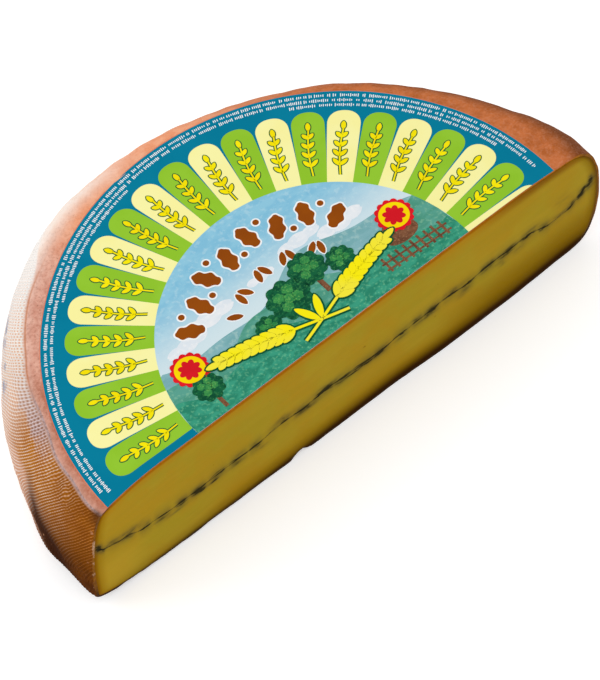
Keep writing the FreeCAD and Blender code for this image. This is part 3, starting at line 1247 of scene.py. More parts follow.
@dataclass
class Rind:
    """The rind as one closed skin round the paste, with its cloth print as real relief.

    Attributes:
        looks: the shared groups.
        weave: the cloth print.
        stretches: first and last angle of each stretch, and its columns.
        ridge_height: of the print's ridges.
        thickness: of the skin.
        round_mm: millimetres round the side for each degree, for the unevenness.
        fold_lip: how far the fold's lip stands out below it.
        fold_depth: how far the fold itself sinks in.
    """

    looks: SharedLooks
    weave: Weave = field(default_factory=Weave)
    stretches: Table = (
        (0.0, 100.0, 120), (100.0, 128.0, 140), (128.0, 180.0, 380),
    )
    ridge_height: float = 0.15
    thickness: float = 1.8
    round_mm: float = 2.9
    fold_lip: float = 1.2
    fold_depth: float = 0.7

    def _angles(self) -> list[float]:
        """The columns' angles, closest together where the cloth print shows.

        Returns:
            Degrees round the wheel, from 0 to 180.
        """
        angles = [0.0]
        for start, end, count in self.stretches:
            angles += [start + (end - start) * (number + 1) / count for number in range(count)]
        return angles

    @staticmethod
    def _picks() -> list[int]:
        """The outer rows that the lining has a row under, from the base's middle up to the top's.

        Returns:
            Row numbers.
        """
        crease = len(Section.TOP_PARTS)
        foot = crease + len(Section.CREASE_STEPS) + Section.UPPER_ROWS + Section.LOWER_ROWS + 1
        last = foot + len(Section.BASE_PARTS) - 1
        side = range(foot - 2, crease + 4, -8)
        return [*range(last, foot - 1, -2), *side, crease + 1, crease - 3, 3, 0]

    def _lining(self, section: Section) -> list[tuple[float, float, float]]:
        """The inner wall's rows: distance out, height and distance down.

        Args:
            section: the outer face there.

        Returns:
            The rows, from the base to the top.
        """
        outer, rows = section.points, []
        for row in self._picks():
            before, after = outer[max(0, row - 1)], outer[min(len(outer) - 1, row + 1)]
            along = Vector((after[0] - before[0], after[1] - before[1])).normalized()
            out = max(0.0, outer[row][0] + along.y * self.thickness)
            rows.append((out, outer[row][1] - along.x * self.thickness, section.down[row]))
        return rows

    def build(self) -> Piece:
        """Rolls a grid into a tube, gives each column its own section, and closes the ends.

        Returns:
            The new piece.
        """
        angles = self._angles()
        columns = len(angles) - 1
        outer_rows = self._picks()[0] + 1
        rows = outer_rows + len(self._picks())
        bm = bmesh.new()
        names = ("turn", "down", "ridge", "under", "woven")
        turn, down, ridge, under, woven = (bm.verts.layers.float.new(n) for n in names)
        bmesh.ops.create_grid(bm, x_segments=columns, y_segments=rows, size=1.0)
        strips: dict[int, list] = {}
        for vert in bm.verts:
            column = round((vert.co.x + 1) / 2 * columns)
            strips.setdefault(column, []).append((vert, round((vert.co.y + 1) / 2 * rows) % rows))
        for column, verts in strips.items():
            angle = angles[column]
            section = Section(angle)
            inner = self._lining(section)
            for vert, row in verts:
                if row >= outer_rows:
                    out, level, vert[down] = inner[row - outer_rows]
                else:
                    out, level, phase = self._outer(section, row)
                    vert[down], vert[ridge], vert[under] = section.down[row], phase, section.under[row]
                vert[turn] = angle
                vert[woven] = ease(vert[down] - WHEEL.weave_start(angle), 0.0, 1.4)
                vert.co = WHEEL.place(angle, out, level)
        for column in (0, columns):
            self._close(bm, {row: vert for vert, row in strips[column]}, outer_rows)
        bmesh.ops.remove_doubles(bm, verts=bm.verts, dist=1e-6)
        bmesh.ops.recalc_face_normals(bm, faces=bm.faces)
        finishes = [RindFinish().material(self.looks), RindEdgeFinish().material(self.looks)]
        for face in bm.faces:
            face.smooth = face.material_index == 0
        return piece_from(bm, "washed_rind", finishes)

    def _outer(self, section: Section, row: int) -> tuple[float, float, float]:
        """One outer point with its cloth ridge and the rim's gentle unevenness.

        Args:
            section: the outer face there.
            row: the point's row.

        Returns:
            Distance out, height and the ridge count there.
        """
        points, angle = section.points, section.angle
        out, level = points[row]
        down = section.down[row]
        phase = self.weave.phase(angle, down, out, level)
        if row <= len(Section.TOP_PARTS) or row == len(points) - 1 or level <= 0.0:
            return out, level, phase
        before, after = points[row - 1], points[row + 1]
        along = Vector((after[0] - before[0], after[1] - before[1]))
        across = Vector((-along.y, along.x)).normalized()
        weave = ease(down - WHEEL.weave_start(angle), 0.0, 1.8) * (1.0 - 0.6 * section.under[row])
        rise = self.ridge_height * weave * math.cos(2 * math.pi * phase)
        spot, broad = angle * self.round_mm, 0.28 + 0.27 * ease(angle, 104.0, 136.0)
        rise += ease(down, 1.0, 12.0) * broad * ripple(spot, down, 34.0, 1.0)
        rise += ease(down, 1.0, 5.0) * 0.22 * ripple(spot, down, 9.0, 6.0)
        rise += ease(abs(down), 0.4, 3.0) * 0.05 * ripple(spot, down, 2.2, 9.0)
        rise *= 1.0 - 0.8 * section.under[row]
        fold = ease(angle, 156.0, 162.0) * ease(angle, 179.0, 175.0) * ease(level, 2.0, 12.0)
        above = level - WHEEL.fold_level(angle)
        rise += fold * (self.fold_lip * bell(above, -9.5, 4.0) - self.fold_depth * bell(above, 0.0, 6.0))
        return out + across.x * rise, level + across.y * rise, phase

    def _close(self, bm: Mesh, verts: dict[int, Vert], outer_rows: int) -> None:
        """Closes one cut strip of the skin, cell by cell between the outer face and the lining.

        Args:
            bm: the skin.
            verts: the strip's points by row.
            outer_rows: how many of them are the outer face's.
        """
        picks = self._picks()
        for number, (high, low) in enumerate(zip(picks, picks[1:])):
            cell = [verts[row] for row in range(low, high + 1)]
            cell += [verts[outer_rows + number], verts[outer_rows + number + 1]]
            bm.faces.new(cell).material_index = 1


@dataclass
class Paste:
    """The paste as one closed body with a finely modelled cut.

    Attributes:
        looks: the shared groups.
        half_columns: the cut's columns from its middle to each end.
        rows: the cut's rows.
        inset: how far the cut's rim lies inside the rind's face.
        tuck: how much farther in the paste lies behind the cut.
        proud: how far the cut stands before the rind's edge.
        turn_steps: steps of the sweep round the back, for each half.
        stains: place, width and strength of each dark stretch of the ash line.
        smudges: place, height, width, height across and strength of each smudge beside it.
    """

    looks: SharedLooks
    half_columns: int = 130
    rows: int = 64
    inset: float = 1.05
    tuck: float = 0.6
    proud: float = 0.06
    turn_steps: int = 48
    stains: Table = (
        (-158, 2.5, 1.0), (-150, 6, 0.40), (-141, 6, 0.45), (-131, 3.5, 1.05), (-120, 4.5, 1.05),
        (-108, 4, 0.9), (-98, 4.5, 1.15), (-85, 6, 0.65), (-72, 5, 1.1), (-61, 4, 1.1),
        (-50, 7, 0.35), (-42, 4, 0.55), (-31, 6, 1.0), (-18, 7, 1.2), (-5, 7, 0.75),
        (8, 9, 0.62), (20, 6, 0.85), (33, 6, 0.7), (44, 4, 0.8), (53, 5, 1.15),
        (66, 6, 0.75), (76, 6, 0.65), (90, 5, 0.9), (103, 8, 0.65), (118, 5, 1.05),
        (128, 4, 0.8), (139, 5, 0.1), (147.5, 3, 0.5), (154, 3, 0.9), (160, 3, 0.6),
    )
    smudges: Table = (
        (-158.4, 45.6, 1.5, 2.0, 0.9), (-152, 43.0, 5, 2.0, 0.35), (-143, 40.6, 5, 2.6, 0.42),
        (-136, 41.5, 4, 2.4, 0.38), (-120, 32.3, 6, 1.1, 0.4), (-112, 29.6, 6, 0.9, 0.5),
        (-97, 31.2, 4, 1.3, 0.55), (-88, 31.0, 3.2, 0.9, 0.8), (-74, 31.0, 5, 1.1, 0.4),
        (-57, 28.8, 6, 1.1, 0.35), (-43, 38.6, 5, 1.6, 0.55), (-44, 41.2, 3, 0.8, 0.4),
        (-28, 32.6, 7, 1.2, 0.4), (-15, 38.6, 8, 1.6, 0.45), (-8, 33.0, 6, 1.1, 0.35),
        (4, 33.7, 5, 0.8, 0.6), (16, 33.2, 7, 0.9, 0.7), (33, 34.0, 3, 0.8, 0.6),
        (42, 39.2, 4, 1.6, 0.45), (50, 35.4, 6, 1.4, 0.35), (66, 40.4, 5, 1.6, 0.45),
        (75, 33.5, 4.5, 2.2, 0.3), (73, 31.2, 4, 1.4, 0.2), (92, 41.0, 5, 1.2, 0.45),
        (100, 32.4, 2.5, 1.3, 0.5), (98, 35.0, 4, 1.3, 0.3), (106, 40.6, 5, 1.3, 0.35),
        (112, 34.5, 4, 2.4, 0.4), (122, 41.5, 3, 2.0, 0.3), (138, 35.0, 7, 3.4, 0.34),
        (146, 37.6, 4, 3.0, 0.4), (142, 46, 6, 3.5, 0.2), (156, 43.2, 2.6, 1.6, 0.8),
        (160.5, 46.5, 1.8, 2.8, 0.8), (159, 40.8, 3, 1.2, 0.5), (153, 38.6, 4, 1.5, 0.4),
    )

    def stain(self, x: float) -> float:
        """How strongly the ash has smudged the paste at a place along the cut."""
        found = max(weight * bell(x, at, wide) for at, wide, weight in self.stains)
        return min(1.25, found + 0.08)

    def smudge(self, x: float, level: float) -> float:
        """How dark the separate ash smudges beside the layer are at a place on the cut.

        Args:
            x: place along the cut.
            level: height above the base.

        Returns:
            The darkness, 0 where there is none.
        """
        found = (
            weight * bell(x, at, wide) * bell(level, height, tall)
            for at, height, wide, tall, weight in self.smudges
        )
        return min(1.2, sum(found))

    def waver(self, x: float, level: float) -> float:
        """How far the cut face swells forward, from the knife's drag."""
        drag = 0.16 * ripple(x, level * 2.0, 60.0, 4.0) + 0.05 * ripple(x + 2 * level, level, 14.0, 7.0)
        return self.proud + max(-0.04, drag * ease(level, 2.0, 10.0) * ease(level, 75.0, 66.0) + 0.05)

    def build(self) -> Piece:
        """Shapes the cut from a grid and sweeps its rim round the back as a half disc.

        Returns:
            The new piece.
        """
        bm = bmesh.new()
        names = ("from_top", "from_base", "from_side", "over_ash", "stain", "smudge")
        layers = [bm.verts.layers.float.new(n) for n in names]
        bmesh.ops.create_grid(bm, x_segments=2 * self.half_columns, y_segments=self.rows, size=1.0)
        for vert in bm.verts:
            self._cut_point(vert, layers)
        rim = [edge for edge in bm.edges if edge.is_boundary]
        self._sweep(bm, rim)
        bmesh.ops.remove_doubles(bm, verts=bm.verts, dist=2e-6)
        bmesh.ops.recalc_face_normals(bm, faces=bm.faces)
        for face in bm.faces:
            face.smooth = True
        return piece_from(bm, "paste", [PasteFinish().material(self.looks)])

    def _cut_point(self, vert: Vert, layers: list) -> None:
        """Moves one grid point onto the cut and notes how far it is from each edge.

        Args:
            vert: the point, from -1 to 1 each way.
            layers: where its notes are kept.
        """
        part, rise = vert.co.x, (vert.co.y + 1.0) / 2.0
        angle = 0.0 if part >= 0 else 180.0
        low = self.inset
        level = 0.5 * (rise + 0.5 - 0.5 * math.cos(math.pi * rise))
        x_guess = WHEEL.middle_x + part * WHEEL.crease_radius(angle)
        top = WHEEL.top_level(x_guess, WHEEL.cut_y) - self.inset
        flat_top = WHEEL.height - WHEEL.shoulder(angle).droop - self.inset
        out = self._reach(angle, low + level * (flat_top - low))
        x = WHEEL.middle_x + part * out
        height = low + level * (top - low)
        height += WHEEL.chip(x, WHEEL.cut_y) * ease(height, 12.0, 0.0)
        edge = ease(1.0 - abs(part), 0.0, 0.012) * ease(min(rise, 1 - rise), 0.0, 0.02)
        y = WHEEL.cut_y - self.proud - edge * (self.waver(x, height) - self.proud)
        ash = WHEEL.ash_level(x, WHEEL.cut_y)
        notes = (
            top - height, height - low, out * (1 - abs(part)),
            height - ash, self.stain(x), self.smudge(x, height),
        )
        for layer, value in zip(layers, notes):
            vert[layer] = value
        vert.co = Vector((x, y, height)) * MM

    def _sweep(self, bm: Mesh, rim: list) -> None:
        """Extrudes the cut's rim round the back in small turns until both halves meet.

        Args:
            bm: the cut face.
            rim: its edges.
        """
        for step in range(self.turn_steps):
            made = bmesh.ops.extrude_edge_only(bm, edges=rim)["geom"]
            rim = [item for item in made if isinstance(item, bmesh.types.BMEdge)]
            turn = 90.0 * (step + 1) / self.turn_steps
            for vert in {v for edge in rim for v in edge.verts}:
                self._swing(vert, turn, step)

    def _swing(self, vert: Vert, turn: float, step: int) -> None:
        """Moves one rim point to its place at a turn towards the back's middle line.

        Args:
            vert: the point, as the step before left it.
            turn: the step's angle from the cut.
            step: its number, from 0.
        """
        x, height = vert.co.x / MM - WHEEL.middle_x, vert.co.z / MM
        y = vert.co.y / MM - WHEEL.cut_y
        out = math.hypot(x, max(0.0, y)) if step else abs(x)
        right = x > 0 or (x == 0 and step % 2 == 0)
        old = 90.0 * step / self.turn_steps
        old_angle, angle = (old, turn) if right else (180.0 - old, 180.0 - turn)
        deeper = 0.0 if step else self.tuck
        scale = (self._reach(angle, height) - self.tuck) / max(
            1.0, self._reach(old_angle, height) - self.tuck + deeper
        )
        vert.co = WHEEL.place(angle, out * scale, height)

    def _reach(self, angle: float, height: float) -> float:
        """Distance from the middle to the paste's side at an angle and height."""
        wide = WHEEL.side_radius(angle) - self.inset
        return wide - rounding(WHEEL.shoulder(angle), height, self.inset)


@dataclass
class Ash:
    """The ash layer: a thin sheet right through the wheel whose edge is the dark line.

    Attributes:
        looks: the shared groups.
        paste: the paste whose stains it follows.
        along: columns along the cut.
        deep: rows from the cut to the back.
        margin: how far it stops before the rind's face.
        core: thickness of the dark core where the stain is full.
        least: thickness between the stains.
    """

    looks: SharedLooks
    paste: Paste
    along: int = 620
    deep: int = 10
    margin: float = 4.6
    core: float = 0.62
    least: float = 0.05

    def thickness(self, x: float) -> float:
        """Thickness of the dark core at a place along the cut.

        Args:
            x: place along the cut.

        Returns:
            The thickness.
        """
        strength = self.paste.stain(x) ** 2.2
        blots = max(0.0, ripple(x, 0.0, 5.0, 13.0)) ** 1.3
        grain = 0.5 + 1.2 * blots + 0.5 * ripple(x, 5.0, 1.4, 17.0)
        knots = 0.8 * bell(x, -157.0, 1.4) + 0.6 * bell(x, 154.5, 1.6)
        inside = ease(x, -160.5, -158.0) * ease(x, 163.5, 159.0)
        return max(self.least, (self.core * strength * grain + knots) * inside)

    def build(self) -> Piece:
        """Lays a grid through the wheel and gives it its uneven thickness.

        Returns:
            The new piece.
        """
        bm = bmesh.new()
        bmesh.ops.create_grid(bm, x_segments=self.along, y_segments=self.deep, size=1.0)
        for vert in bm.verts:
            part, depth = vert.co.x, (vert.co.y + 1.0) / 2.0
            turn = math.pi / 2 * depth
            side = 0.0 if part >= 0 else 180.0
            reach = WHEEL.side_radius(side) - self.margin
            x = WHEEL.middle_x + part * reach * math.cos(turn)
            y = WHEEL.cut_y + math.sin(turn) * (WHEEL.side_radius(90.0) - self.margin) * depth**0.2
            vert.co = Vector((x, y, WHEEL.ash_level(x, y)))
        for verts, way in zip(doubled(bm), (-0.5, 0.5)):
            for vert in verts:
                self._shape(vert, way)
        bmesh.ops.remove_doubles(bm, verts=bm.verts, dist=1e-7)
        bmesh.ops.recalc_face_normals(bm, faces=bm.faces)
        return piece_from(bm, "ash_layer_sheet", [AshFinish().material(self.looks)])

    def _shape(self, vert: Vert, way: float) -> None:
        """Moves one point up or down by half the thickness, and to metres.

        Args:
            vert: the point.
            way: half a thickness up or down.
        """
        x, y, level = vert.co
        front = y - WHEEL.cut_y < 0.5
        thick = self.thickness(x)
        jog = 0.45 * ripple(x, 3.0, 4.2, 31.0) + 0.2 * ripple(x, 3.0, 1.5, 35.0)
        jog += 1.7 * ease(x, 146.0, 152.0) * ripple(x, 3.0, 2.6, 41.0)
        if front:
            y = WHEEL.cut_y - self.paste.waver(x, level) - 0.05
        vert.co = Vector((x, y, level + jog + way * thick)) * MM


# ---------------------------------------------------------------- the label


@dataclass(frozen=True)
class LabelPlace:
    """Where the round label lies: its own plane is centred on it, with y away from the cut.

    Attributes:
        centre: its middle on the wheel's top.
        radius: of the sheet.
        stretch: how far it is drawn out along turn, and narrowed across it.
        turn: the direction of the stretch, in degrees.
        lift: how far the sheet lies above the skin.
        reach: lowest and highest x and y that it covers.
    """

    centre: Point = (-5.8, -80.8)
    radius: float = 143.5
    stretch: float = 2.0
    turn: float = 47.0
    lift: float = 0.05
    reach: tuple[Point, Point] = ((-160.0, 150.0), (-84.0, 70.0))

    def to_wheel(self, x: float, y: float) -> Point:
        """A place in the label's plane as a place on the wheel's top.

        Args:
            x: place in the label's plane.
            y: place in the label's plane.

        Returns:
            The place on the wheel.
        """
        way, stretch = math.radians(self.turn), self.stretch / self.radius
        along = (x * math.cos(way) + y * math.sin(way)) * (1 + stretch)
        across = (-x * math.sin(way) + y * math.cos(way)) * (1 - stretch)
        return beside(self.centre, self.turn, along, across)


LABEL = LabelPlace()


class Stencil:
    """One ink's shapes, laid flat in the label's plane and then given a film's thickness."""

    def __init__(self, name: str, layer: int, ink: Ink, looks: SharedLooks) -> None:
        """Starts an empty stencil.

        Args:
            name: the piece's name.
            layer: its place in the order of printing.
            ink: its ink.
            looks: the shared groups.
        """
        self.name, self.layer, self.ink, self.looks = name, layer, ink, looks
        self.bm = bmesh.new()

    def round_shape(self, shape: Callable[[float], Point], segments: int = 20) -> None:
        """A disc whose rim is moved to a closed line.

        Args:
            shape: gives the line's place at an angle from 0 to 2 pi.
            segments: of the line.
        """
        made = bmesh.ops.create_circle(self.bm, cap_ends=True, radius=1.0, segments=segments)
        for vert in made["verts"]:
            angle = math.atan2(vert.co.y, vert.co.x) % (2 * math.pi)
            vert.co.xy = shape(angle)

    def band(self, along: Callable[[float, float], Point], steps: int = 16) -> None:
        """A strip of any shape.

        Args:
            along: gives a place from 0 to 1 lengthways and -1 to 1 across.
            steps: of its length.
        """
        made = bmesh.ops.create_grid(self.bm, x_segments=steps, y_segments=1, size=1.0)
        for vert in made["verts"]:
            vert.co.xy = along((vert.co.x + 1) / 2, vert.co.y)

    def disc(self, x: float, y: float, radius: float, segments: int = 20) -> None:
        """A plain round."""
        self.round_shape(lambda a: (x + radius * math.cos(a), y + radius * math.sin(a)), segments)

    def leaf(self, base: Point, turn: float, length: float, width: float, grow: float = 0.0) -> None:
        """A pointed leaf.

        Args:
            base: where its stalk is.
            turn: where it points, in degrees.
            length: from base to tip.
            width: at its widest.
            grow: how much wider it is all round, for an outline.
        """

        def rim(angle: float) -> Point:
            """The leaf's outline."""
            along = (0.5 - 0.5 * math.cos(angle)) * (length + 2 * grow) - grow
            side = math.sin(angle) * abs(math.sin(angle)) ** 0.35 * (width / 2 + grow)
            return beside(base, turn, along, side)

        self.round_shape(rim, 14)

    def lobed(self, x: float, y: float, radius: float, lobes: int, depth: float, segments: int = 60) -> None:
        """A flower or tree crown with rounded lobes.

        Args:
            x: its middle.
            y: its middle.
            radius: out to the lobes.
            lobes: how many.
            depth: depth between them, as a part of the radius.
            segments: of its outline.
        """

        def rim(angle: float) -> Point:
            """The lobed outline."""
            out = radius * (1 - depth + depth * abs(math.cos(lobes * angle / 2)))
            return x + out * math.cos(angle), y + out * math.sin(angle)

        self.round_shape(rim, segments)

    def finish_piece(self, cell: float = 0.0, film: float = 0.045) -> Piece:
        """Trims the shapes at the cut, thickens them and lays them on the cheese.

        Args:
            cell: size of the squares that a large field is divided into, or 0.
            film: thickness of the print.

        Returns:
            The new piece.
        """
        bm = self.bm
        for vert in bm.verts:
            vert.co.xy = LABEL.to_wheel(vert.co.x, vert.co.y)
        edge = Vector((0.0, WHEEL.cut_y + 0.1 + 0.02 * self.layer, 0.0))
        self._cut(edge, (0, -1, 0), True)
        if cell:
            for way, (least, most) in zip(((1, 0, 0), (0, 1, 0)), LABEL.reach):
                for step in range(math.floor(least / cell), math.ceil(most / cell)):
                    self._cut(Vector(way) * step * cell, way, False)
        level = LABEL.lift + film * self.layer
        for verts, rise in zip(doubled(bm), (max(0.0, level - 2 * film), level + film)):
            for vert in verts:
                vert.co.z = WHEEL.top_level(vert.co.x, vert.co.y) + rise
                vert.co *= MM
        bmesh.ops.recalc_face_normals(bm, faces=bm.faces)
        return piece_from(bm, self.name, [self.ink.value.material(self.looks)])

    def _cut(self, point: Vector, way: tuple[float, float, float], clear: bool) -> None:
        """Cuts all shapes by a plane.

        Args:
            point: a point of the plane.
            way: the direction across it.
            clear: whether what lies beyond it goes.
        """
        geometry = [*self.bm.verts, *self.bm.edges, *self.bm.faces]
        bmesh.ops.bisect_plane(
            self.bm, geom=geometry, dist=1e-5, plane_co=point, plane_no=way, clear_outer=clear
        )


@dataclass
class Printing:
    """A part of the label's print, which starts at a layer of its own."""

    looks: SharedLooks
    layer: int = 0

    def stencil(self, name: str, above: int, ink: Ink) -> Stencil:
        """Starts a piece, so many layers above this part's first."""
        return Stencil("label_" + name, self.layer + above, ink, self.looks)


@dataclass
class LabelBorder(Printing):
    """The blue border: sheet, orange edge, rows of white ticks and the ring of arches.

    Each row of ticks has its distance from the label's middle, and its first and last angle.
    """

    arch_count: int = 42
    arch_shift: float = -1.1
    arch_inner: float = 86.0
    arch_outer: float = 131.0
    arch_round: float = 8.5
    arch_taper: float = 0.07
    sprig_inner: float = 91.0
    sprig_length: float = 29.0
    tick_half_width: float = 0.24
    rows: Table = (
        (140.6, 4, 177), (137.5, 0, 180), (134.5, 98, 130), (134.5, 10, 60),
    )

    def build(self) -> list[Piece]:
        """Makes every piece of the border.

        Returns:
            The new pieces, in the order of printing.
        """
        edge = self.stencil("edge_line", 0, Ink.ORANGE)
        edge.disc(0, 0, LABEL.radius, 220)
        sheet = self.stencil("sheet", 1, Ink.BLUE)
        sheet.disc(0, 0, LABEL.radius - 0.35, 220)
        green = self.stencil("green_arches", 2, Ink.GREEN)
        cream = self.stencil("cream_arches", 2, Ink.CREAM)
        for number in range(self.arch_count):
            turn = self._arch_turn(number)
            if turn < 181 or turn > 354:
                self._arch(cream if number % 2 else green, turn)
        pieces = [made.finish_piece(6.0) for made in (edge, sheet, green, cream)]
        return pieces + self._sprigs() + [self._ticks()]

    def _arch_turn(self, number: int) -> float:
        """The angle of one arch's axis."""
        return 360.0 / self.arch_count * (number + 0.5) + self.arch_shift

    def _arch(self, stencil: Stencil, turn: float) -> None:
        """One arch: full width at the roundel, drawing in to a rounded end.

        Args:
            stencil: where it is drawn.
            turn: its axis, in degrees.
        """
        half = 180.0 / self.arch_count

        def place(part: float, across: float) -> Point:
            """Straight for the first half, and round the end in the second."""
            straight, swing = min(1.0, 2 * part), math.pi * max(0.0, part - 0.5)
            out = self.arch_inner + (self.arch_outer - self.arch_inner - self.arch_round) * straight
            out += self.arch_round * math.sin(swing)
            lean = 1.0 - self.arch_taper * straight**2
            return polar(turn + across * half * lean * max(0.02, math.cos(swing) ** 0.85), out)

        stencil.band(place, 32)

    def _sprigs(self) -> list[Piece]:
        """A yellow sprig with a dark green outline on each arch.

        Returns:
            The new pieces.
        """
        dark = self.stencil("sprig_outlines", 3, Ink.DARK_GREEN)
        fill = self.stencil("sprigs", 4, Ink.YELLOW)
        for number in range(self.arch_count):
            turn = self._arch_turn(number)
            if 2 < turn < 178:
                self._sprig(dark, turn, 0.55)
                self._sprig(fill, turn, 0.0)
        return [dark.finish_piece(), fill.finish_piece()]

    def _sprig(self, stencil: Stencil, turn: float, grow: float) -> None:
        """A stem with four pairs of leaves and a bud, pointing outwards.

        Args:
            stencil: where it is drawn.
            turn: where it points, in degrees.
            grow: how much wider it is all round, for an outline.
        """

        def stem(part: float, across: float) -> Point:
            """The gently bent stem."""
            side = 1.1 * math.sin(math.pi * part) + across * (0.42 + grow)
            return beside((0.0, 0.0), turn, self.sprig_inner + self.sprig_length * part, side)

        stencil.band(stem, 8)
        for pair in range(4):
            base = stem(0.2 + 0.2 * pair, 0.0)
            for way in (-1, 1):
                stencil.leaf(base, turn + way * 42, 5.6 - 0.4 * pair, 2.3, grow)
        stencil.leaf(stem(0.97, 0.0), turn, 5.2, 2.6, grow)

    def _ticks(self) -> Piece:
        """Rows of fine white ticks in groups of many lengths.

        Returns:
            The new piece.
        """
        white = self.stencil("white_ticks", 3, Ink.WHITE)
        chance = random.Random(12)
        for out, start, end in self.rows:
            turn = start + 1.0
            while turn < end - 1.0:
                for _ in range(chance.choice((2, 3, 5, 7, 8, 10))):
                    self._tick(white, turn, out, chance.choice((0.5, 0.7, 0.7, 0.95)))
                    turn += math.degrees(chance.choice((0.92, 1.0, 1.12)) / out)
                turn += math.degrees(chance.choice((0.7, 0.8, 1.5)) / out)
        return white.finish_piece()

    def _tick(self, stencil: Stencil, turn: float, out: float, half: float) -> None:
        """One tick, standing across the row."""
        wide = math.degrees(self.tick_half_width / out)
        stencil.band(lambda part, across: polar(turn + (2 * part - 1) * wide, out + across * half), 1)


@dataclass
class Roundel(Printing):
    """The picture in the middle: sky, hills, round trees, wheat, a leaf garland and flowers.

    A cloud has its middle, width and height; a tree its middle and size; a light on a crown
    its place, as a part of the crown's size; and a hill its name, the height of its line, the
    height, length and start of its roll, and its paint.
    """

    layer: int = 3
    radius: float = 86.6
    clouds: Table = (
        (-58, 40, 13, 4), (-40, 45, 16, 5), (22, 50, 14, 4), (44, 44, 15, 5), (-6, 46, 9, 3),
    )
    trees: Table = (
        (-4, 26, 12.5), (14, 34, 10.5), (-22, 20, 7.5), (30, 27, 8.0), (-66, 14, 8.5),
    )
    crown_lights: Table = (
        (-0.32, 0.30), (0.22, 0.42), (0.34, -0.08), (-0.28, -0.26), (0.02, 0.04),
    )
    hills: tuple = (
        ("far_hills", 36.0, 7.0, 21.0, 0.4, Ink.FAR_HILL),
        ("middle_hills", 26.0, 6.0, 15.0, 2.2, Ink.MIDDLE_HILL),
        ("near_meadow", 14.0, 4.0, 11.0, 4.0, Ink.MEADOW),
    )

    def build(self) -> list[Piece]:
        """Makes every piece of the picture.

        Returns:
            The new pieces.
        """
        sky = self.stencil("sky", 0, Ink.SKY)
        sky.disc(0, 0, self.radius, 160)
        pieces = [sky.finish_piece(8.0)]
        for step, (name, top, wave, length, phase, ink) in enumerate(self.hills):
            hill = self.stencil(name, 1 + step, ink)
            self._hill(hill, top, wave, length, phase)
            pieces.append(hill.finish_piece(8.0))
        return pieces + self._clouds() + self._trees() + self._garland() + self._wheat() + self._flowers()

    def _hill(self, stencil: Stencil, top: float, wave: float, length: float, phase: float) -> None:
        """A field from below the cut up to a rolling line, kept inside the round.

        Args:
            stencil: where it is drawn.
            top: mean height of its line.
            wave: height of the roll.
            length: length of the roll.
            phase: where the roll begins.
        """

        def place(part: float, across: float) -> Point:
            """From below the cut up to the rolling line."""
            x = self.radius * (2 * part - 1) * 0.999
            line = top + wave * math.sin(x / length + phase) + wave * 0.35 * math.sin(x / length * 2.3)
            rim = math.sqrt(max(0.0, self.radius**2 - x * x))
            return x, -6.0 if across < 0 else max(-5.9, min(line, rim))

        stencil.band(place, 120)

    def _clouds(self) -> list[Piece]:
        """Pale clouds over the hills.

        Returns:
            The new pieces.
        """
        cloud = self.stencil("clouds", 1, Ink.CLOUD)
        for x, y, wide, tall in self.clouds:
            cloud.round_shape(
                lambda a, x=x, y=y, w=wide, t=tall: (
                    x + w * math.cos(a) * (0.9 + 0.1 * abs(math.sin(3 * a))),
                    y + t * math.sin(a) * (0.7 + 0.3 * abs(math.cos(4 * a))),
                ),
                48,
            )
        return [cloud.finish_piece()]

    def _trees(self) -> list[Piece]:
        """Round leafy trees with brown trunks, a fence and a hayrick.

        Returns:
            The new pieces.
        """
        wood = self.stencil("woodwork", 4, Ink.WOOD)
        dark = self.stencil("tree_crowns", 5, Ink.CROWN)
        light = self.stencil("tree_lights", 6, Ink.CROWN_LIGHT)
        for x, y, size in self.trees:
            wood.band(lambda p, c, x=x, y=y, s=size: (x + c * s * 0.13, y - s * (0.5 + 1.2 * p)), 2)
            dark.lobed(x, y, size, 9, 0.16)
            for dx, dy in self.crown_lights:
                light.lobed(x + dx * size, y + dy * size, size * 0.26, 6, 0.2, 30)
        for post in range(9):
            wood.band(lambda p, c, n=post: (44 + 4.4 * n + c * 0.7, 3 + 9.5 * p - 0.25 * n), 2)
        for rail in (5.0, 9.0):
            wood.band(lambda p, c, r=rail: (42 + 40 * p, r - 2.3 * p + c * 0.55), 4)

        def hayrick(angle: float) -> Point:
            """A round heap with a flatter foot."""
            tall = 1.25 if math.sin(angle) > 0 else 0.55
            return 62 + 9.5 * math.cos(angle), 17 + 9.0 * math.sin(angle) * tall

        wood.round_shape(hayrick, 40)
        return [wood.finish_piece(), dark.finish_piece(), light.finish_piece()]

    def _garland(self) -> list[Piece]:
        """An arc of brown oak leaves and acorns with a white outline, and a smaller one inside.

        Returns:
            The new pieces.
        """
        white = self.stencil("garland_outline", 2, Ink.GARLAND_WHITE)
        brown = self.stencil("garland", 3, Ink.BROWN)
        for stencil, grow in ((white, 0.9), (brown, 0.0)):
            for number in range(8):
                turn, way = 139 - 13.2 * number, (-1) ** number
                self._oak_leaf(stencil, polar(turn, 67.5 + 1.4 * way), turn + 14 * way, grow)
                if number < 7:
                    stencil.disc(*polar(turn - 6.6, 62.0 if number % 2 else 74.0), 1.7 + grow * 0.9, 18)
            for number in range(9):
                turn = 128 - 9.4 * number
                stencil.leaf(polar(turn, 43.5), turn + 22 * (-1) ** number, 8.6, 3.6, grow * 0.7)
        return [white.finish_piece(), brown.finish_piece()]

    @staticmethod
    def _oak_leaf(stencil: Stencil, middle: Point, turn: float, grow: float) -> None:
        """A lobed leaf centred on a point.

        Args:
            stencil: where it is drawn.
            middle: its middle.
            turn: where it points, in degrees.
            grow: how much wider it is all round, for an outline.
        """

        def rim(angle: float) -> Point:
            """The leaf's wavy outline."""
            wave = 1 + 0.16 * math.cos(7 * angle) * (1 if grow == 0 else 0.75)
            along = (7.6 + grow) * math.cos(angle) * (0.97 + 0.03 * wave)
            side = (3.9 + grow) * math.sin(angle) * wave
            return beside(middle, turn, along, side)

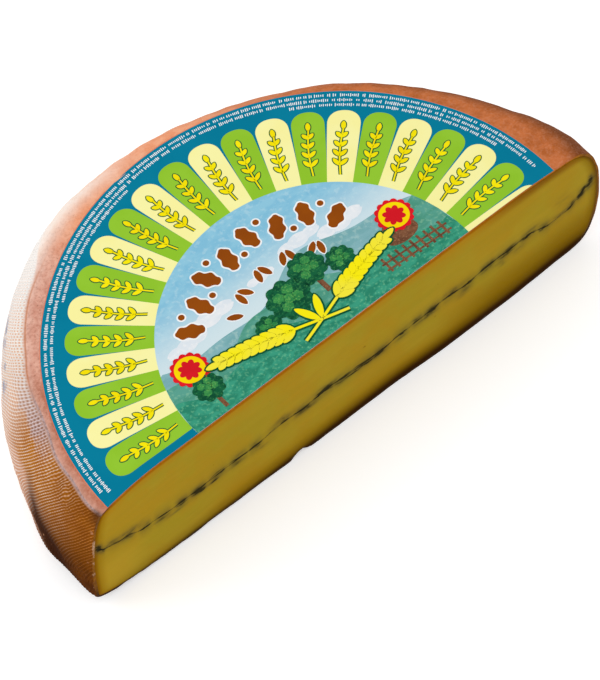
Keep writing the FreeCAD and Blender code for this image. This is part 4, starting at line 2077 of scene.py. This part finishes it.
        stencil.round_shape(rim, 56)

    def _wheat(self) -> list[Piece]:
        """Two large crossed ears of wheat in yellow with a dark green outline.

        Returns:
            The new pieces.
        """
        dark = self.stencil("wheat_outline", 7, Ink.WHEAT_GREEN)
        gold = self.stencil("wheat", 8, Ink.WHEAT_YELLOW)
        for stencil, grow in ((dark, 0.95), (gold, 0.0)):
            for way in (-1, 1):
                self._ear(stencil, way, grow)
        return [dark.finish_piece(), gold.finish_piece()]

    @staticmethod
    def _ear(stencil: Stencil, way: int, grow: float) -> None:
        """One ear: a curved stem with pairs of grains and a few long awns.

        Args:
            stencil: where it is drawn.
            way: 1 for the ear to the right and -1 to the left.
            grow: how much wider it is all round, for an outline.
        """

        def stem(part: float) -> Point:
            """The curved stem's middle line."""
            return way * (-14 + 66 * part), 1.5 + 10 * math.sin(math.pi * 0.62 * part) + 10 * part**2

        def heading(part: float) -> float:
            """The stem's direction in degrees."""
            here, there = stem(part), stem(part + 0.01)
            return math.degrees(math.atan2(there[1] - here[1], there[0] - here[0]))

        def strip(part: float, across: float) -> Point:
            """The stem with its width."""
            return beside(stem(part), heading(part), 0.0, across * (0.75 + grow))

        stencil.band(strip, 20)
        for grain in range(9):
            part = 0.42 + 0.068 * grain
            turn = heading(part)
            for side in (-1, 1):
                stencil.leaf(stem(part), turn + side * 33, 9.6 - 0.35 * grain, 4.0, grow)
        stencil.leaf(stem(1.0), turn, 9.0, 3.6, grow)
        stencil.leaf(stem(0.22), turn + way * 55, 15.0, 4.2, grow)

    def _flowers(self) -> list[Piece]:
        """Two red and yellow round-lobed flowers.

        Returns:
            The new pieces.
        """
        red = self.stencil("flowers_red", 5, Ink.RED)
        gold = self.stencil("flowers_yellow", 6, Ink.FLOWER_YELLOW)
        heart = self.stencil("flower_hearts", 7, Ink.HEART_RED)
        for x, y in (polar(157, 72), polar(23, 72)):
            red.lobed(x, y, 10.2, 14, 0.12, 84)
            gold.disc(x, y, 7.9, 40)
            heart.lobed(x, y, 6.0, 8, 0.28, 64)
        return [red.finish_piece(), gold.finish_piece(), heart.finish_piece()]


# ---------------------------------------------------------------- stage, light and camera


@dataclass(frozen=True)
class Studio:
    """A pale floor, an even soft light with a gentle lamp, and the camera."""

    world_level: float = 0.80
    lamp_power: float = 9.0
    lamp_size: float = 1.1
    lamp_from: tuple[float, float, float] = (-1.25, 1.05, 1.15)
    fill_power: float = 3.0
    fill_size: float = 1.6
    fill_from: tuple[float, float, float] = (-0.5, -1.9, 0.9)
    eye: tuple[float, float, float] = (-0.7091, -1.0816, 1.7809)
    looks_at: tuple[float, float, float] = (0.0056, -0.0370, 0.0087)
    roll: float = -7.56
    lens: float = 229.9
    sensor: float = 36.0
    clip: tuple[float, float] = (0.05, 60.0)
    floor_half: float = 6.0
    floor_drop: float = 0.0002
    floor_grey: float = 0.86
    floor_glow: float = 0.42

    def build(self) -> None:
        """Makes the stage."""
        self._world()
        self._floor()
        self._lamp("soft_lamp", self.lamp_from, self.lamp_power, self.lamp_size)
        self._lamp("front_fill", self.fill_from, self.fill_power, self.fill_size)
        self._camera()

    def _world(self) -> None:
        """An even pale world that cameras and mirrors see as white."""
        world = bpy.data.worlds.new("studio_world")
        bpy.context.scene.world = world
        g = fresh_graph(world)
        path = g.node("ShaderNodeLightPath").outputs
        seen = g.math("MAXIMUM", path["Is Camera Ray"], path["Is Glossy Ray"])
        seen = g.math("MAXIMUM", seen, path["Is Transmission Ray"])
        even = g.node("ShaderNodeBackground", {"Color": (1, 1, 1, 1), "Strength": self.world_level})
        white = g.node("ShaderNodeBackground", {"Color": (1, 1, 1, 1), "Strength": 1.0})
        both = g.node("ShaderNodeMixShader", {0: seen, 1: even.outputs[0], 2: white.outputs[0]})
        g.node("ShaderNodeOutputWorld", {"Surface": both.outputs[0]})

    def _floor(self) -> None:
        """A wide pale floor that stays white to the camera but keeps the shadow."""
        bm = bmesh.new()
        bmesh.ops.create_grid(bm, x_segments=2, y_segments=2, size=self.floor_half)
        bmesh.ops.translate(bm, verts=bm.verts, vec=(0, 0, -self.floor_drop))
        mesh = bpy.data.meshes.new("studio_floor")
        bm.to_mesh(mesh)
        bm.free()
        material = bpy.data.materials.new("pale_floor")
        g = fresh_graph(material)
        grey = (self.floor_grey,) * 3 + (1,)
        path = g.node("ShaderNodeLightPath").outputs
        matte = g.node("ShaderNodeBsdfDiffuse", {"Color": grey})
        glow = g.node("ShaderNodeEmission", {"Color": (1, 1, 1, 1), "Strength": self.floor_glow})
        seen = g.node("ShaderNodeMixShader", {0: path["Is Camera Ray"], 2: glow.outputs[0]})
        both = g.node("ShaderNodeAddShader", {0: matte.outputs[0], 1: seen.outputs[0]})
        g.node("ShaderNodeOutputMaterial", {"Surface": both.outputs[0]})
        mesh.materials.append(material)
        floor = bpy.data.objects.new("studio_floor", mesh)
        bpy.context.scene.collection.objects.link(floor)

    @staticmethod
    def _lamp(name: str, source: tuple[float, float, float], power: float, size: float) -> None:
        """A soft square lamp aimed at the cheese.

        Args:
            name: the lamp's name.
            source: where it hangs.
            power: in watts.
            size: of its side.
        """
        data = bpy.data.lights.new(name, "AREA")
        data.energy, data.size = power, size
        lamp = bpy.data.objects.new(name, data)
        lamp.location = source
        lamp.rotation_euler = (-Vector(source)).to_track_quat("-Z", "Y").to_euler()
        bpy.context.scene.collection.objects.link(lamp)

    def _camera(self) -> None:
        """The camera, rolled a little about its own axis."""
        data = bpy.data.cameras.new("camera")
        data.lens, data.sensor_width = self.lens, self.sensor
        data.clip_start, data.clip_end = self.clip
        camera = bpy.data.objects.new("camera", data)
        aim = (Vector(self.looks_at) - Vector(self.eye)).to_track_quat("-Z", "Y")
        turned = aim.to_matrix() @ Matrix.Rotation(math.radians(self.roll), 3, "Z")
        camera.location = self.eye
        camera.rotation_euler = turned.to_euler()
        bpy.context.scene.collection.objects.link(camera)
        bpy.context.scene.camera = camera


def main() -> None:
    """Builds the cheese and its stage, in order, and logs face and piece counts."""
    logging.basicConfig(level=logging.INFO, format="%(message)s")
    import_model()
    bpy.context.scene.view_settings.view_transform = "Standard"
    Studio().build()
    looks = SharedLooks()
    rind = Rind(looks).build()
    paste_body = Paste(looks)
    paste = paste_body.build()
    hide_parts("paste_lower", "paste_upper")
    ash = Ash(looks, paste_body).build()
    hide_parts("ash_layer")
    LOG.info("%s and %s are in place", rind.name, ash.name)
    border = LabelBorder(looks).build()
    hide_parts("label")
    picture = Roundel(looks).build()
    LOG.info("label: %d pieces", len(border) + len(picture))


if __name__ == "__main__":
    main()
